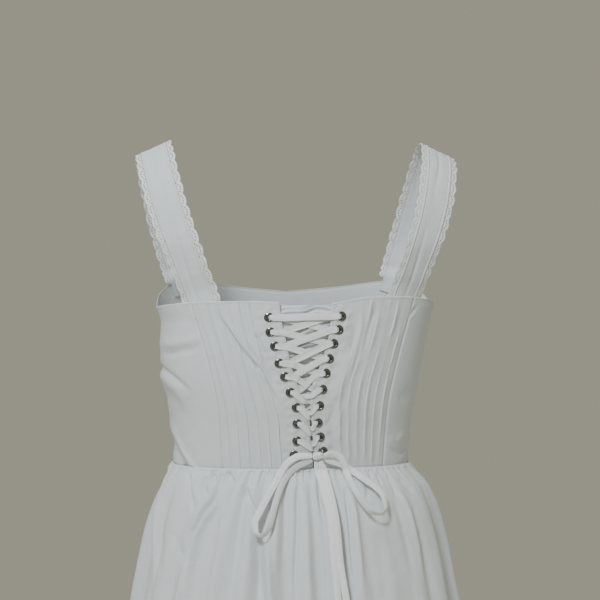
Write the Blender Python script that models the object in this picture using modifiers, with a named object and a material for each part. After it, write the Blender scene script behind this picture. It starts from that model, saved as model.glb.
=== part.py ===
"""A babydoll dress: a fitted cotton bodice laced up the back, a gathered skirt and lace-edged straps.

Metres, +Z up. The dress keeps the hollow form in which it is worn. Its back faces +Y, its front -Y, and the
wearer's left side is at +X. The origin lies midway between the undersides of the two straps on the shoulders.
Sizes below are in millimetres and angles in degrees, turned from the centre back towards the wearer's left.
"""

import math
from collections import namedtuple
from functools import lru_cache

import bmesh
import bpy
from mathutils import Vector

MM = 0.001

# Cloth and seams
WALL = 1.1
SEAM_GAP = 0.3
SIDE_SEAM = 90.0
FRONT = 180.0
WAIST = -335.0

# Sections of the worn form: half breadths at the wearer's left and right, depths behind and in front
ROUNDNESS = 2.35
Section = namedtuple("Section", "z left right back front")
BODICE = (
    Section(-95, 151, 151, 80, 98),
    Section(-130, 151, 150, 84, 102),
    Section(-166, 149, 148, 86, 106),
    Section(-185, 144.5, 144, 87, 110),
    Section(-209, 145.5, 139, 87.5, 114),
    Section(-238, 144, 133, 87.5, 115),
    Section(-270, 137, 127, 86, 109),
    Section(-295, 133, 123, 83, 103),
    Section(WAIST, 131, 120, 79, 97),
)
SKIRT = (
    Section(WAIST, 133, 122, 81, 99),
    Section(-347, 142, 132, 90, 108),
    Section(-360, 148, 143, 98, 115),
    Section(-386, 155, 153, 108, 124),
    Section(-426, 163, 161, 118, 133),
    Section(-463, 169, 168, 126, 140),
    Section(-560, 186, 186, 144, 157),
    Section(-650, 203, 203, 159, 172),
    Section(-765, 224, 224, 176, 190),
)

# The two lobes of the bust, over the front's sections
Lobe = namedtuple("Lobe", "angle z reach wide tall")
BUST = Lobe(angle=147, z=-224, reach=13, wide=21, tall=40)

# Top edge of the bodice all round
Rim = namedtuple("Rim", "angle z")
TOP_EDGE = (
    Rim(-180, -151), Rim(-150, -146), Rim(-122, -139), Rim(-104, -153), Rim(-90, -165), Rim(-74, -160.5),
    Rim(-57, -157), Rim(-40, -157.5), Rim(-28, -161), Rim(-17, -164), Rim(0, -163.5), Rim(17, -163),
    Rim(34, -162), Rim(57, -162.5), Rim(74, -165.5), Rim(90, -168), Rim(104, -153), Rim(122, -139),
    Rim(150, -146), Rim(180, -151),
)

# Back panels: the seam on their outer side, and the two edges that the ribbon draws together
Seam = namedtuple("Seam", "z x")
BACK_SEAM = (
    Seam(-130, 124), Seam(-165, 116), Seam(-208, 103), Seam(-237, 95.5), Seam(-276, 88), Seam(WAIST, 84),
)
Placket = namedtuple("Placket", "z left right")
PLACKET = (
    Placket(-150, 27.5, -28.5),
    Placket(-163, 26.6, -27.4),
    Placket(-187, 23.8, -25.6),
    Placket(-203, 20.0, -22.9),
    Placket(-226, 15.3, -15.8),
    Placket(-248, 8.2, -6.9),
    Placket(-270, 0.8, -4.9),
    Placket(-287, -4.6, -7.2),
    Placket(-303, -5.4, -8.0),
    Placket(-319, -7.6, -11.0),
    Placket(WAIST, -8.6, -11.6),
)
TUCK_PLACES = (0.345, 0.458, 0.572, 0.688, 0.798, 0.905)
TUCK_HALF_WIDTH = 0.016
TUCK_HEIGHT = 1.5
BACK_ROWS = 8

# Eyelets: where each row's left and right centres lie, and the ring's own sizes
Row = namedtuple("Row", "left_x left_z right_x right_z")
EYELETS = (
    Row(37.5, -179.0, -37.2, -177.8),
    Row(36.1, -194.0, -34.3, -191.7),
    Row(31.5, -208.4, -28.9, -206.0),
    Row(27.0, -226.0, -24.3, -221.5),
    Row(21.3, -239.7, -20.8, -236.4),
    Row(15.6, -255.8, -17.4, -252.9),
    Row(9.2, -271.4, -14.2, -269.7),
    Row(8.1, -288.1, -13.0, -287.3),
    Row(8.1, -306.0, -15.4, -302.0),
    Row(10.9, -320.8, -18.7, -317.0),
)
RING_OUTER = 5.2
RING_HOLE = 2.55
RING_BARREL = 3.05
RING_UNDER = WALL + SEAM_GAP
RING_TOP = 2.1
RING_STEPS = 8
HOLE_RADIUS = 3.4
HOLE_SIDES = 8

# Ribbon
RIBBON_WIDTH = 7.5
RIBBON_THICKNESS = 0.6
RIBBON_IN_HOLE = 3.6
RIBBON_IN_SLIT = 4.8
OVER_CLOTH = WALL + SEAM_GAP + RIBBON_THICKNESS / 2
OVER_RING = RING_TOP + SEAM_GAP + RIBBON_THICKNESS / 2
UNDER_CLOTH = -SEAM_GAP - RIBBON_THICKNESS / 2 - 0.05
NARROW_GAP = 12
MOST_LEAN = math.radians(42)

# Modesty panel behind the lacing
MODESTY_HALF_WIDTH = 50
MODESTY_HEM_WIDTH = 6
MODESTY_TOP = -166
MODESTY_BOTTOM = -334.4
MODESTY_FOLDS = 5

# Skirt
HEM = -765
GATHERS = 26
SKIRT_TOP = WAIST - 2 * SEAM_GAP
FINE_ROWS = (SKIRT_TOP, -341, -350, -364)
COARSE_ROWS = (-384, -410, -445, -490, -545, -610, -685, HEM)
Swell = namedtuple("Swell", "z gather fold")
SWELL = (
    Swell(SKIRT_TOP, 0.9, 0),
    Swell(-341, 2.0, 0),
    Swell(-350, 2.5, 0.6),
    Swell(-364, 1.9, 1.8),
    Swell(-384, 1.0, 3.0),
    Swell(-410, 0.4, 4.0),
    Swell(-445, 0, 4.8),
    Swell(-600, 0, 6.2),
    Swell(HEM, 0, 7.4),
)
Fold = namedtuple("Fold", "angle height")
BACK_FOLDS = (
    Fold(-76, 0.9), Fold(-62, 1.0), Fold(-50, 0.9), Fold(-37, 0.8), Fold(-23, 1.0), Fold(-12, 1.0), Fold(0.5, 0.8),
    Fold(18, 1.2), Fold(28.5, 0.9), Fold(41, 1.0), Fold(54, 1.1), Fold(65, 0.9), Fold(76, 1.0),
)
FRONT_FOLDS = 12

# Straps: the middle of the underside from the back of the bodice over the shoulder to its front.
# A row without y lies inside the bodice, on its form.
StrapRow = namedtuple("StrapRow", "step x y z turn lean")
STRAP = (
    StrapRow(0, 100.5, None, -177, 26, 0),
    StrapRow(1, 106.5, None, -159, 26, 0),
    StrapRow(2, 115.5, 65.5, -134, 25, 0),
    StrapRow(3, 125, 66, -108, 22, 1),
    StrapRow(4, 134.5, 61, -82, 18, 3),
    StrapRow(5, 142, 53, -57, 14, 7),
    StrapRow(6, 148, 40, -32, 9, 14),
    StrapRow(7, 152, 23, -11, 4, 21),
    StrapRow(8, 153.5, 3, -0.2, 0, 25),
    StrapRow(9, 152.5, -17, -6, -5, 22),
    StrapRow(10, 149.5, -35, -23, -10, 15),
    StrapRow(11, 144.5, -50, -47, -15, 8),
    StrapRow(12, 138.5, -61, -74, -20, 4),
    StrapRow(13, 131.5, -68, -101, -25, 1),
    StrapRow(14, 125, -71.5, -124, -29, 0),
    StrapRow(15, 121, None, -139, -30, 0),
    StrapRow(16, 116.5, None, -154, -30, 0),
)
STRAP_WIDTH = 28
STRAP_STEP = 0.5
STRAP_INSIDE = -WALL - SEAM_GAP - 0.3
LACE_WALL = 1.0
LACE_NARROW = 4.8
LACE_WIDE = 7.2
LACE_FROM = 1.0
LACE_TO = 15.0

# Bow: a knot, two loops and two tails. lift is the height over the cloth, twist the turn out of the cloth's plane.
KNOT_X = -12.6
KNOT_Z = -321
KNOT_LIFT = 6.8
KNOT_SIZE = (11.5, 6.2, 9.0)
Bend = namedtuple("Bend", "step x z lift twist")
LOOP_LEFT = (
    Bend(0, -6.8, -321.0, 6.6, 10),
    Bend(1, 5, -321, 7.0, 15),
    Bend(2, 17, -326, 8.0, 20),
    Bend(3, 26, -338, 9.0, 20),
    Bend(4, 37, -354, 9.5, 20),
    Bend(5, 48, -372, 10.5, 30),
    Bend(6, 54.5, -385, 11.5, 50),
    Bend(7, 54, -394, 12.0, 75),
    Bend(8, 48, -397.5, 12.0, 80),
    Bend(9, 41, -391, 10.5, 55),
    Bend(10, 35, -379, 9.0, 30),
    Bend(11, 28.4, -364, 7.6, 20),
    Bend(12, 22, -349, 6.6, 20),
    Bend(13, 12, -336, 6.0, 20),
    Bend(14, 2, -328.5, 5.6, 15),
    Bend(15, -7.0, -325.2, 5.6, 10),
)
LOOP_RIGHT = (
    Bend(0, -18.5, -321.0, 6.8, 5),
    Bend(1, -27, -319, 7.8, 15),
    Bend(2, -35, -321.5, 9.8, 15),
    Bend(3, -40, -331, 11.5, 20),
    Bend(4, -45, -347, 12.0, 30),
    Bend(5, -54, -364, 12.5, 40),
    Bend(6, -65, -376.5, 13.0, 60),
    Bend(7, -75, -379, 13.0, 80),
    Bend(8, -81, -372.5, 12.0, 75),
    Bend(9, -79, -362, 10.5, 50),
    Bend(10, -71, -352.5, 9.0, 30),
    Bend(11, -61, -345.5, 7.6, 25),
    Bend(12, -50, -338, 6.4, 20),
    Bend(13, -38, -330.5, 5.0, 15),
    Bend(14, -28, -327, 4.4, 10),
    Bend(15, -18.6, -324.6, 4.8, 10),
)
TAIL_LEFT = (
    Bend(0, -11.0, -326.4, 5.4, 0),
    Bend(1, -13.0, -335, 5.8, 0),
    Bend(2, -16.4, -352, 5.6, 0),
    Bend(3, -20.2, -368, 6.0, 5),
    Bend(4, -22.8, -385, 6.4, 8),
    Bend(5, -23.8, -405, 6.6, 6),
    Bend(6, -25.2, -430, 7.0, 2),
    Bend(7, -27.6, -457, 7.0, -4),
    Bend(8, -30.0, -487, 7.4, -6),
    Bend(9, -31.2, -520, 8.0, -2),
    Bend(10, -31.0, -552, 8.4, 4),
    Bend(11, -29.6, -580, 8.6, 8),
)
TAIL_RIGHT = (
    Bend(0, -15.2, -326.4, 8.0, 0),
    Bend(1, -18.4, -335, 8.8, 0),
    Bend(2, -22.4, -352, 8.8, 0),
    Bend(3, -26.2, -372, 9.0, -4),
    Bend(4, -28.8, -395, 9.2, -4),
    Bend(5, -30.4, -422, 9.4, 0),
    Bend(6, -34.0, -450, 9.6, 6),
    Bend(7, -38.4, -478, 9.8, 8),
    Bend(8, -42.0, -508, 10.0, 4),
    Bend(9, -44.2, -538, 10.2, -2),
    Bend(10, -45.0, -564, 10.4, -4),
)

COTTON = ("white_cotton", (0.86, 0.87, 0.86), 0.85, 0.0)
LACE = ("cotton_lace", (0.88, 0.88, 0.86), 0.9, 0.0)
TAPE = ("ribbon_tape", (0.9, 0.9, 0.88), 0.55, 0.0)
NICKEL = ("nickel", (0.62, 0.6, 0.57), 0.25, 1.0)


@lru_cache(maxsize=None)
def column_of(rows, key, column):
    """A table's column as sorted keys, values and slopes that never overshoot."""
    points = sorted((getattr(row, key), getattr(row, column)) for row in rows)
    keys = [point[0] for point in points]
    values = [point[1] for point in points]
    rises = [(values[n + 1] - values[n]) / (keys[n + 1] - keys[n]) for n in range(len(keys) - 1)]
    slopes = [rises[0]]
    for before, after in zip(rises, rises[1:]):
        slopes.append(2 * before * after / (before + after) if before * after > 0 else 0.0)
    return keys, values, slopes + [rises[-1]]


def read(rows, key, column, at):
    """A table's column at any key: a smooth curve through its rows, held beyond the first and the last."""
    keys, values, slopes = column_of(rows, key, column)
    at = min(max(at, keys[0]), keys[-1])
    n = next(i for i in range(len(keys) - 1) if at <= keys[i + 1])
    span = keys[n + 1] - keys[n]
    t = (at - keys[n]) / span
    rise = values[n + 1] - values[n]
    start, end = slopes[n] * span, slopes[n + 1] * span
    return values[n] + t * start + t * t * (3 * rise - 2 * start - end) + t**3 * (start + end - 2 * rise)


def between(low, high, t):
    return low + (high - low) * t


def section_at(table, z):
    return Section(z, *(read(table, "z", column, z) for column in Section._fields[1:]))


def section_radius(section, angle):
    """The distance from the middle to the form's wall."""
    sine, cosine = math.sin(math.radians(angle)), math.cos(math.radians(angle))
    across = section.left if sine > 0 else section.right
    deep = section.back if cosine > 0 else section.front
    return (abs(sine / across) ** ROUNDNESS + abs(cosine / deep) ** ROUNDNESS) ** (-1 / ROUNDNESS)


def bust(angle, z):
    turn = abs((angle + FRONT) % 360 - FRONT) - BUST.angle
    return BUST.reach * math.exp(-((turn / BUST.wide) ** 2) - ((z - BUST.z) / BUST.tall) ** 2)


def bodice_point(angle, z, out=0.0):
    """A point of the bodice's inner face, moved out along its normal."""

    def wall(at_angle, at_z):
        reach = section_radius(section_at(BODICE, at_z), at_angle) + bust(at_angle, at_z)
        return Vector((reach * math.sin(math.radians(at_angle)), reach * math.cos(math.radians(at_angle)), at_z))

    here = wall(angle, z)
    if not out:
        return here
    around = wall(angle - 1, z) - wall(angle + 1, z)
    up = wall(angle, z + 2) - wall(angle, z - 2)
    return here + around.cross(up).normalized() * out


def back_y(table, x, z):
    """How far behind the middle the form's back lies at x."""
    section = section_at(table, z)
    across = section.left if x > 0 else section.right
    return section.back * (1 - min(abs(x) / across, 1) ** ROUNDNESS) ** (1 / ROUNDNESS)


def back_angle(x, z):
    return math.degrees(math.atan2(x, back_y(BODICE, x, z)))


def back_point(x, z, out=0.0):
    return bodice_point(back_angle(x, z), z, out)


def top_edge(angle):
    return read(TOP_EDGE, "angle", "z", (angle + FRONT) % 360 - FRONT)


def gap_angle(z):
    """Half a seam gap at the side, as an angle."""
    return math.degrees(SEAM_GAP / 2 / section_at(BODICE, z).left)


def new_collection(name):
    collection = bpy.data.collections.new(name)
    bpy.context.scene.collection.children.link(collection)
    return collection


def material(recipe):
    """A plain Principled BSDF material with the finish's colour, roughness and metallic value."""
    name, colour, roughness, metallic = recipe
    made = bpy.data.materials.get(name)
    if made:
        return made
    made = bpy.data.materials.new(name)
    made.use_nodes = True
    shader = made.node_tree.nodes["Principled BSDF"]
    shader.inputs["Base Color"].default_value = (*colour, 1)
    shader.inputs["Roughness"].default_value = roughness
    shader.inputs["Metallic"].default_value = metallic
    return made


def object_from(name, shape, finish, collection):
    """A named object with its own mesh and material."""
    mesh = bpy.data.meshes.new(name)
    shape.to_mesh(mesh)
    shape.free()
    mesh.materials.append(material(finish))
    mesh.shade_smooth()
    made = bpy.data.objects.new(name, mesh)
    collection.objects.link(made)
    return made


def grid_of(columns, rows, point, flip=False, raised=None):
    """A sheet of cloth without thickness: a grid moved point by point, with the raised columns weighted."""
    sheet = bmesh.new()
    bmesh.ops.create_grid(sheet, x_segments=columns, y_segments=rows, size=0.5)
    weights = sheet.verts.layers.deform.verify() if raised else None
    for vertex in sheet.verts:
        column = round((vertex.co.x + 0.5) * columns)
        row = round((0.5 - vertex.co.y) * rows)
        if raised:
            vertex[weights][0] = raised(column, row)
        vertex.co = Vector(point(column, row)) * MM
    if flip:
        bmesh.ops.reverse_faces(sheet, faces=sheet.faces)
    return sheet


def add_wall(cloth, thickness, side=1, raise_by=0.0):
    """Solidify: side 1 thickens outwards, -1 inwards and 0 both ways. Weighted points rise by raise_by more.
    A ribbon, thickened both ways, keeps its points close in its sharp turns."""
    wall = cloth.modifiers.new("wall", "SOLIDIFY")
    wall.thickness = (thickness + raise_by) * MM
    wall.offset = side
    wall.use_even_offset = side != 0
    wall.use_quality_normals = True
    if raise_by:
        cloth.vertex_groups.new(name="raised")
        wall.vertex_group = "raised"
        wall.thickness_vertex_group = thickness / (thickness + raise_by)
    return cloth


def bodice_front(collection):
    columns, rows = 20, 7

    def point(column, row):
        ends = gap_angle(WAIST)
        angle = between(-SIDE_SEAM - ends, SIDE_SEAM + ends - 360, column / columns)
        return bodice_point(angle, between(top_edge(angle), WAIST, row / rows))

    add_wall(object_from("bodice_front", grid_of(columns, rows, point), COTTON, collection), WALL)


def side_back(collection, side, name):
    """The plain panel between the back panel's seam and the side seam."""
    columns, rows = 5, BACK_ROWS
    rim_start = back_angle(side * BACK_SEAM[1].x, BACK_SEAM[1].z)

    def point(column, row):
        rim = top_edge(between(rim_start, side * SIDE_SEAM, column / columns))
        z = between(rim, WAIST, row / rows)
        seam = back_angle(side * (read(BACK_SEAM, "z", "x", z) + SEAM_GAP / 2), z)
        return bodice_point(between(seam, side * (SIDE_SEAM - gap_angle(z)), column / columns), z)

    sheet = grid_of(columns, rows, point, flip=side > 0)
    add_wall(object_from(name, sheet, COTTON, collection), WALL)


def placket_x(side, z):
    return read(PLACKET, "z", "left" if side > 0 else "right", z)


def back_panel(collection, side, name, holes):
    """The panel with the pintucks and, along its inner edge, the row of eyelet holes."""
    rim_z = top_edge(0)
    places = [0, 0.12, 0.24]
    for tuck in TUCK_PLACES:
        places += [tuck - TUCK_HALF_WIDTH, tuck, tuck + TUCK_HALF_WIDTH]
    places.append(1)

    def x_at(place, z):
        outer = side * (read(BACK_SEAM, "z", "x", z) - SEAM_GAP / 2)
        return between(placket_x(side, z), outer, place)

    def point(column, row):
        rim = top_edge(back_angle(x_at(places[column], rim_z), rim_z))
        z = between(rim, WAIST, row / BACK_ROWS)
        return back_point(x_at(places[column], z), z)

    def raised(column, row):
        return float(places[column] in TUCK_PLACES)

    sheet = grid_of(len(places) - 1, BACK_ROWS, point, side > 0, raised)
    panel = add_wall(object_from(name, sheet, COTTON, collection), WALL, raise_by=TUCK_HEIGHT)
    cut = panel.modifiers.new("eyelet holes", "BOOLEAN")
    cut.operand_type = "COLLECTION"
    cut.collection = holes


def eyelet_centre(side, row):
    place = EYELETS[row]
    return (place.left_x, place.left_z) if side > 0 else (place.right_x, place.right_z)


def stand_on_back(made, x, z):
    """Places an object on the back's inner face, its own Z along the outward normal."""
    foot, tip = back_point(x, z), back_point(x, z, 1)
    made.location = foot * MM
    made.rotation_euler = (tip - foot).to_track_quat("Z", "Y").to_euler()


def hole_cutters(side, name, cutters):
    """A collection of cylinders that cut one panel's eyelet holes."""
    holes = bpy.data.collections.new(name)
    cutters.children.link(holes)
    for row in range(len(EYELETS)):
        drill = bmesh.new()
        bmesh.ops.create_cone(
            drill, cap_ends=True, segments=HOLE_SIDES,
            radius1=HOLE_RADIUS * MM, radius2=HOLE_RADIUS * MM, depth=8 * WALL * MM,
        )
        cutter = object_from(f"{name}_{row + 1:02d}", drill, NICKEL, holes)
        stand_on_back(cutter, *eyelet_centre(side, row))
        cutter.hide_render = True
        cutter.display_type = "WIRE"
    return holes


def eyelets(collection, side, name):
    """Turned rings with a flange on the cloth and a barrel through it."""
    outline = (
        (RING_HOLE, 0), (RING_HOLE, RING_TOP), (RING_OUTER - 0.6, RING_TOP),
        (RING_OUTER, RING_UNDER), (RING_BARREL, RING_UNDER), (RING_BARREL, 0),
    )
    profile = bmesh.new()
    points = [profile.verts.new((radius * MM, 0, height * MM)) for radius, height in outline]
    for n, start in enumerate(points):
        profile.edges.new((start, points[(n + 1) % len(points)]))
    first = object_from(f"{name}_01", profile, NICKEL, collection)
    for row in range(len(EYELETS)):
        ring = first if row == 0 else bpy.data.objects.new(f"{name}_{row + 1:02d}", first.data)
        if row:
            collection.objects.link(ring)
        turned = ring.modifiers.new("turned", "SCREW")
        turned.steps = turned.render_steps = RING_STEPS
        turned.use_merge_vertices = False
        stand_on_back(ring, *eyelet_centre(side, row))


def modesty_panel(collection):
    """The plain panel behind the lacing, drawn into shallow cross folds, its sides against the back panels."""
    edge = MODESTY_HALF_WIDTH
    inner = edge - MODESTY_HEM_WIDTH
    places = (edge, inner, inner - 4, 20, 0, -20, 4 - inner, -inner, -edge)
    rows = 10

    def point(column, row):
        x = places[column]
        z = between(MODESTY_TOP, MODESTY_BOTTOM, row / rows)
        wave = 0.5 - 0.5 * math.cos(2 * math.pi * MODESTY_FOLDS * row / rows)
        flat = -WALL - SEAM_GAP
        loose = UNDER_CLOTH - RIBBON_THICKNESS / 2 - SEAM_GAP - WALL
        return back_point(x, z, flat if abs(x) >= inner else loose - wave)

    sheet = grid_of(len(places) - 1, rows, point)
    add_wall(object_from("modesty_panel", sheet, COTTON, collection), WALL)


def skirt_radius(angle, z):
    return section_radius(section_at(SKIRT, z), angle)


def all_folds():
    """Ridges of the skirt's folds all round: the back's from their table, the front's by rule."""
    ridges = list(BACK_FOLDS)
    for n in range(FRONT_FOLDS):
        place = between(90, 270, (n + 0.5) / FRONT_FOLDS) + 3 * math.sin(2.3 * n)
        ridges.append(Fold(place, 0.9 + 0.2 * math.sin(1.9 * n + 1)))
    ridges.sort()
    return [Fold(ridges[-1].angle - 360, ridges[-1].height), *ridges, Fold(ridges[0].angle + 360, ridges[0].height)]


SKIRT_FOLDS = all_folds()


def fold_wave(angle):
    """1 on a fold's ridge and -1 half way to the next, times the fold's height."""
    angle = (angle - SKIRT_FOLDS[0].angle) % 360 + SKIRT_FOLDS[0].angle
    n = next(i for i in range(len(SKIRT_FOLDS) - 1) if angle <= SKIRT_FOLDS[i + 1].angle)
    here, beyond = SKIRT_FOLDS[n], SKIRT_FOLDS[n + 1]
    t = (angle - here.angle) / (beyond.angle - here.angle)
    return between(here.height, beyond.height, t) * math.cos(2 * math.pi * t)


def gather_widths(start):
    """The uneven widths of one half's gathers, as shares of their mean."""
    return [1 + 0.22 * math.sin(1.7 * n + start) + 0.14 * math.sin(4.1 * n + 1) for n in range(GATHERS)]


def gather_angles(start):
    """Four columns a gather, over half the waist."""
    edges = [0.0]
    for width in gather_widths(start):
        edges.append(edges[-1] + width)
    half_gap = gap_angle(WAIST)
    angles = []
    for column in range(4 * GATHERS + 1):
        n = min(column // 4, GATHERS - 1)
        share = between(edges[n], edges[n + 1], column / 4 - n) / edges[-1]
        angles.append(start + SIDE_SEAM - half_gap - share * (180 - 2 * half_gap))
    return angles


def skirt_half(collection, name, start):
    """One half of the skirt, from a side seam round to the other. Below the gathers every second column ends."""
    angles = gather_angles(start)
    widths = gather_widths(start)
    heights = FINE_ROWS + COARSE_ROWS
    columns = len(angles) - 1
    fine = len(FINE_ROWS) - 1

    def point(column, row):
        angle, z = angles[column], heights[row]
        gather = -math.cos(math.pi * column / 2) * read(SWELL, "z", "gather", z)
        gather *= widths[min(column // 4, GATHERS - 1)] if column % 4 else 1
        reach = skirt_radius(angle, z) + gather + fold_wave(angle) * read(SWELL, "z", "fold", z)
        return (reach * math.sin(math.radians(angle)), reach * math.cos(math.radians(angle)), z)

    sheet = grid_of(columns, len(heights) - 1, lambda column, row: (column, -row, 0))
    ended = []
    for edge in sheet.edges:
        ends = [(round(v.co.x / MM), round(-v.co.y / MM)) for v in edge.verts]
        if ends[0][0] == ends[1][0] and ends[0][0] % 2 and min(ends[0][1], ends[1][1]) >= fine:
            ended.append(edge)
    bmesh.ops.dissolve_edges(sheet, edges=ended, use_verts=True)
    for vertex in sheet.verts:
        vertex.co = Vector(point(round(vertex.co.x / MM), round(-vertex.co.y / MM))) * MM
    add_wall(object_from(name, sheet, COTTON, collection), WALL, side=-1)


FREE_ROWS = tuple(row for row in STRAP if row.y is not None)


def strap_middle(step):
    """The middle of the left strap's underside at any step. Beyond its free rows y is held."""
    x, z = read(STRAP, "step", "x", step), read(STRAP, "step", "z", step)
    return Vector((x, read(FREE_ROWS, "step", "y", step), z))


def strap_inside(step, aside, run, turn, side):
    """The same point where the strap's end lies inside the bodice, on its form."""
    middle = strap_middle(step)
    flat = Vector((run.x, run.z)).normalized()
    x = middle.x + aside * abs(flat.y) * math.cos(turn)
    z = middle.z - aside * abs(flat.x)
    front = step > STRAP[-1].step / 2
    section = section_at(BODICE, z)
    across = section.left if side > 0 else section.right
    deep = -section.front if front else section.back
    y = deep * (1 - (x / across) ** ROUNDNESS) ** (1 / ROUNDNESS)
    return bodice_point(math.degrees(math.atan2(side * x, y)), z, STRAP_INSIDE)


def strap_point(step, aside, side):
    """A point of a strap's underside, aside from its middle: outwards from the neck is positive."""
    nearby = 0.05
    run = strap_middle(min(step + nearby, STRAP[-1].step)) - strap_middle(max(step - nearby, 0))
    run.normalize()
    turn = math.radians(read(STRAP, "step", "turn", step))
    lean = math.radians(read(STRAP, "step", "lean", step))
    across = Vector((math.cos(turn) * math.cos(lean), -math.sin(turn) * math.cos(lean), -math.sin(lean)))
    across = (across - run * across.dot(run)).normalized()
    free = strap_middle(step) + across * aside
    free.x *= side
    clear = min(step - FREE_ROWS[0].step, FREE_ROWS[-1].step - step)
    if clear >= 0:
        return free
    share = min(-clear, 1)
    return free.lerp(strap_inside(step, aside, run, turn, side), share * share * (3 - 2 * share))


def strap(collection, side, name):
    columns = 2

    def point(column, row):
        aside = between(-STRAP_WIDTH / 2, STRAP_WIDTH / 2, column / columns)
        return strap_point(row * STRAP_STEP, aside, side)

    sheet = grid_of(columns, round(STRAP[-1].step / STRAP_STEP), point, flip=side > 0)
    add_wall(object_from(name, sheet, COTTON, collection), WALL)


def strap_lace(collection, side, edge, name):
    """A scalloped lace strip along one edge of a strap: edge -1 is the neck's side and 1 the arm's.
    Every second row lies beside a row of the strap, and those between lie beside its straight edges."""
    rows = round((LACE_TO - LACE_FROM) / STRAP_STEP) * 2

    def beside(step, width):
        return strap_point(step, edge * (STRAP_WIDTH / 2 + SEAM_GAP + width), side)

    def point(column, row):
        step = LACE_FROM + row * STRAP_STEP / 2
        if row % 2 == 0:
            return beside(step, column * LACE_NARROW)
        half = STRAP_STEP / 2
        if column == 0:
            return (beside(step - half, 0) + beside(step + half, 0)) / 2
        return beside(step, LACE_WIDE)

    sheet = grid_of(1, rows, point, flip=side * edge > 0)
    add_wall(object_from(name, sheet, LACE, collection), LACE_WALL)


Station = namedtuple("Station", "x z out width")


def up_through(x, z, toward):
    """From inside a hole up through it and out over its ring, toward -1 or 1 in x."""
    return [
        Station(x, z, 0.7, RIBBON_IN_HOLE),
        Station(x + 0.9 * toward, z, OVER_RING, RIBBON_IN_HOLE + 0.3),
        Station(x + 4.2 * toward, z, OVER_RING, RIBBON_WIDTH * 0.8),
    ]


def inside_to(x, z, toward):
    """Behind the cloth from the side that toward names to the hole."""
    return [
        Station(x + 3.0 * toward, z, UNDER_CLOTH, RIBBON_WIDTH * 0.7),
        Station(x + 0.5 * toward, z, UNDER_CLOTH + 0.3, RIBBON_IN_HOLE),
    ]


def through_slit(side, z, over):
    """Over one edge and under the other where the V is a slit: the two ribbons pass one above the other."""
    z += RIBBON_IN_SLIT / 2 + 0.2 if over else -RIBBON_IN_SLIT / 2 - 0.2
    own, other = placket_x(side, z), placket_x(-side, z)
    centre = (own + other) / 2
    reach = max(abs(own - other) / 2, 1.6)
    way = ((-reach - 0.6, OVER_RING - 0.4), (-reach * 0.4, OVER_CLOTH), (0, 0.55), (reach * 0.4, -0.6),
           (reach + 0.6, UNDER_CLOTH))
    return [Station(centre - side * step, z, out, RIBBON_IN_SLIT) for step, out in way]


def across_gap(start, end, over):
    """Over the ribbon's own edge, across the open V and under the other edge."""
    side = 1 if start[0] > end[0] else -1
    own = placket_x(side, between(start[1], end[1], 0.1))
    other = placket_x(-side, between(start[1], end[1], 0.9))
    half, centre = abs(own - other) / 2, (own + other) / 2
    clear = max(RING_OUTER + 1.6, abs(start[0] - own) - 2.2) - abs(start[0] - own)
    width = min(RIBBON_WIDTH * 0.78, half * 0.6)
    levels = (1.5, 0.95) if over else (0.0, -0.4)
    way = (
        (-1 + clear / half, OVER_CLOTH), (-1 + 3 / half, OVER_CLOTH), (-0.5, levels[0]), (0.5, levels[1]),
        (1 - 3 / half, UNDER_CLOTH), (1 + 2.6 / half, UNDER_CLOTH),
    )
    stations = []
    for share, out in way:
        z = between(start[1], end[1], min(max(0.5 + share / 2.2, 0), 1))
        stations.append(Station(centre - side * share * half, z, out, width))
    return stations


def behind_gap(start, end, over):
    """The first two strands, which cross behind the bar."""
    side = 1 if start[0] > end[0] else -1
    half = abs(start[0] - end[0]) / 2
    centre = (start[0] + end[0]) / 2
    level = 0.3 if over else UNDER_CLOTH
    way = ((-0.5, UNDER_CLOTH), (-0.28, level), (0.28, level), (0.5, UNDER_CLOTH))
    return [
        Station(centre - side * share * half, between(start[1], end[1], 0.5 + share / 1.4), out, RIBBON_WIDTH * 0.88)
        for share, out in way
    ]


def half_lacing(side):
    """From the middle of the bar at the top down to the last row, through alternate sides."""
    start = eyelet_centre(side, 0)
    bar_end = list(reversed(up_through(*start, -side)))
    bar = [
        Station(start[0] - side * away, start[1], OVER_CLOTH + raised, RIBBON_WIDTH)
        for away, raised in ((20, 0), (8.5, 0.3))
    ]
    stations = bar + bar_end + list(reversed(inside_to(*start, -side)))
    for row in range(1, len(EYELETS)):
        end = eyelet_centre(-side, row)
        middle = sum(eyelet_centre(hand, at)[1] for hand in (1, -1) for at in (row - 1, row)) / 4
        if row == 1:
            stations += behind_gap(start, end, side < 0)
        elif placket_x(1, middle) - placket_x(-1, middle) < NARROW_GAP:
            stations += through_slit(side, middle, side < 0)
        else:
            stations += across_gap(start, end, side < 0)
        stations += inside_to(*end, side)
        if row < len(EYELETS) - 1:
            stations += up_through(*end, side)
        side, start = -side, end
    return stations, side, start


def to_knot(side, x, z):
    """From the last row's hole to the knot."""
    way = up_through(x, z, -side)
    if side < 0:
        return way[:-1] + [Station(x + 1.6, z - 0.4, OVER_RING + 0.3, RIBBON_IN_HOLE + 0.4)]
    ending = Station(KNOT_X + KNOT_SIZE[0] / 2 + 0.8, KNOT_Z, OVER_RING + 1.2, RIBBON_WIDTH * 0.7)
    return way + [Station(x - 10, z, OVER_RING + 0.2, RIBBON_WIDTH * 0.85), ending]


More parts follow.
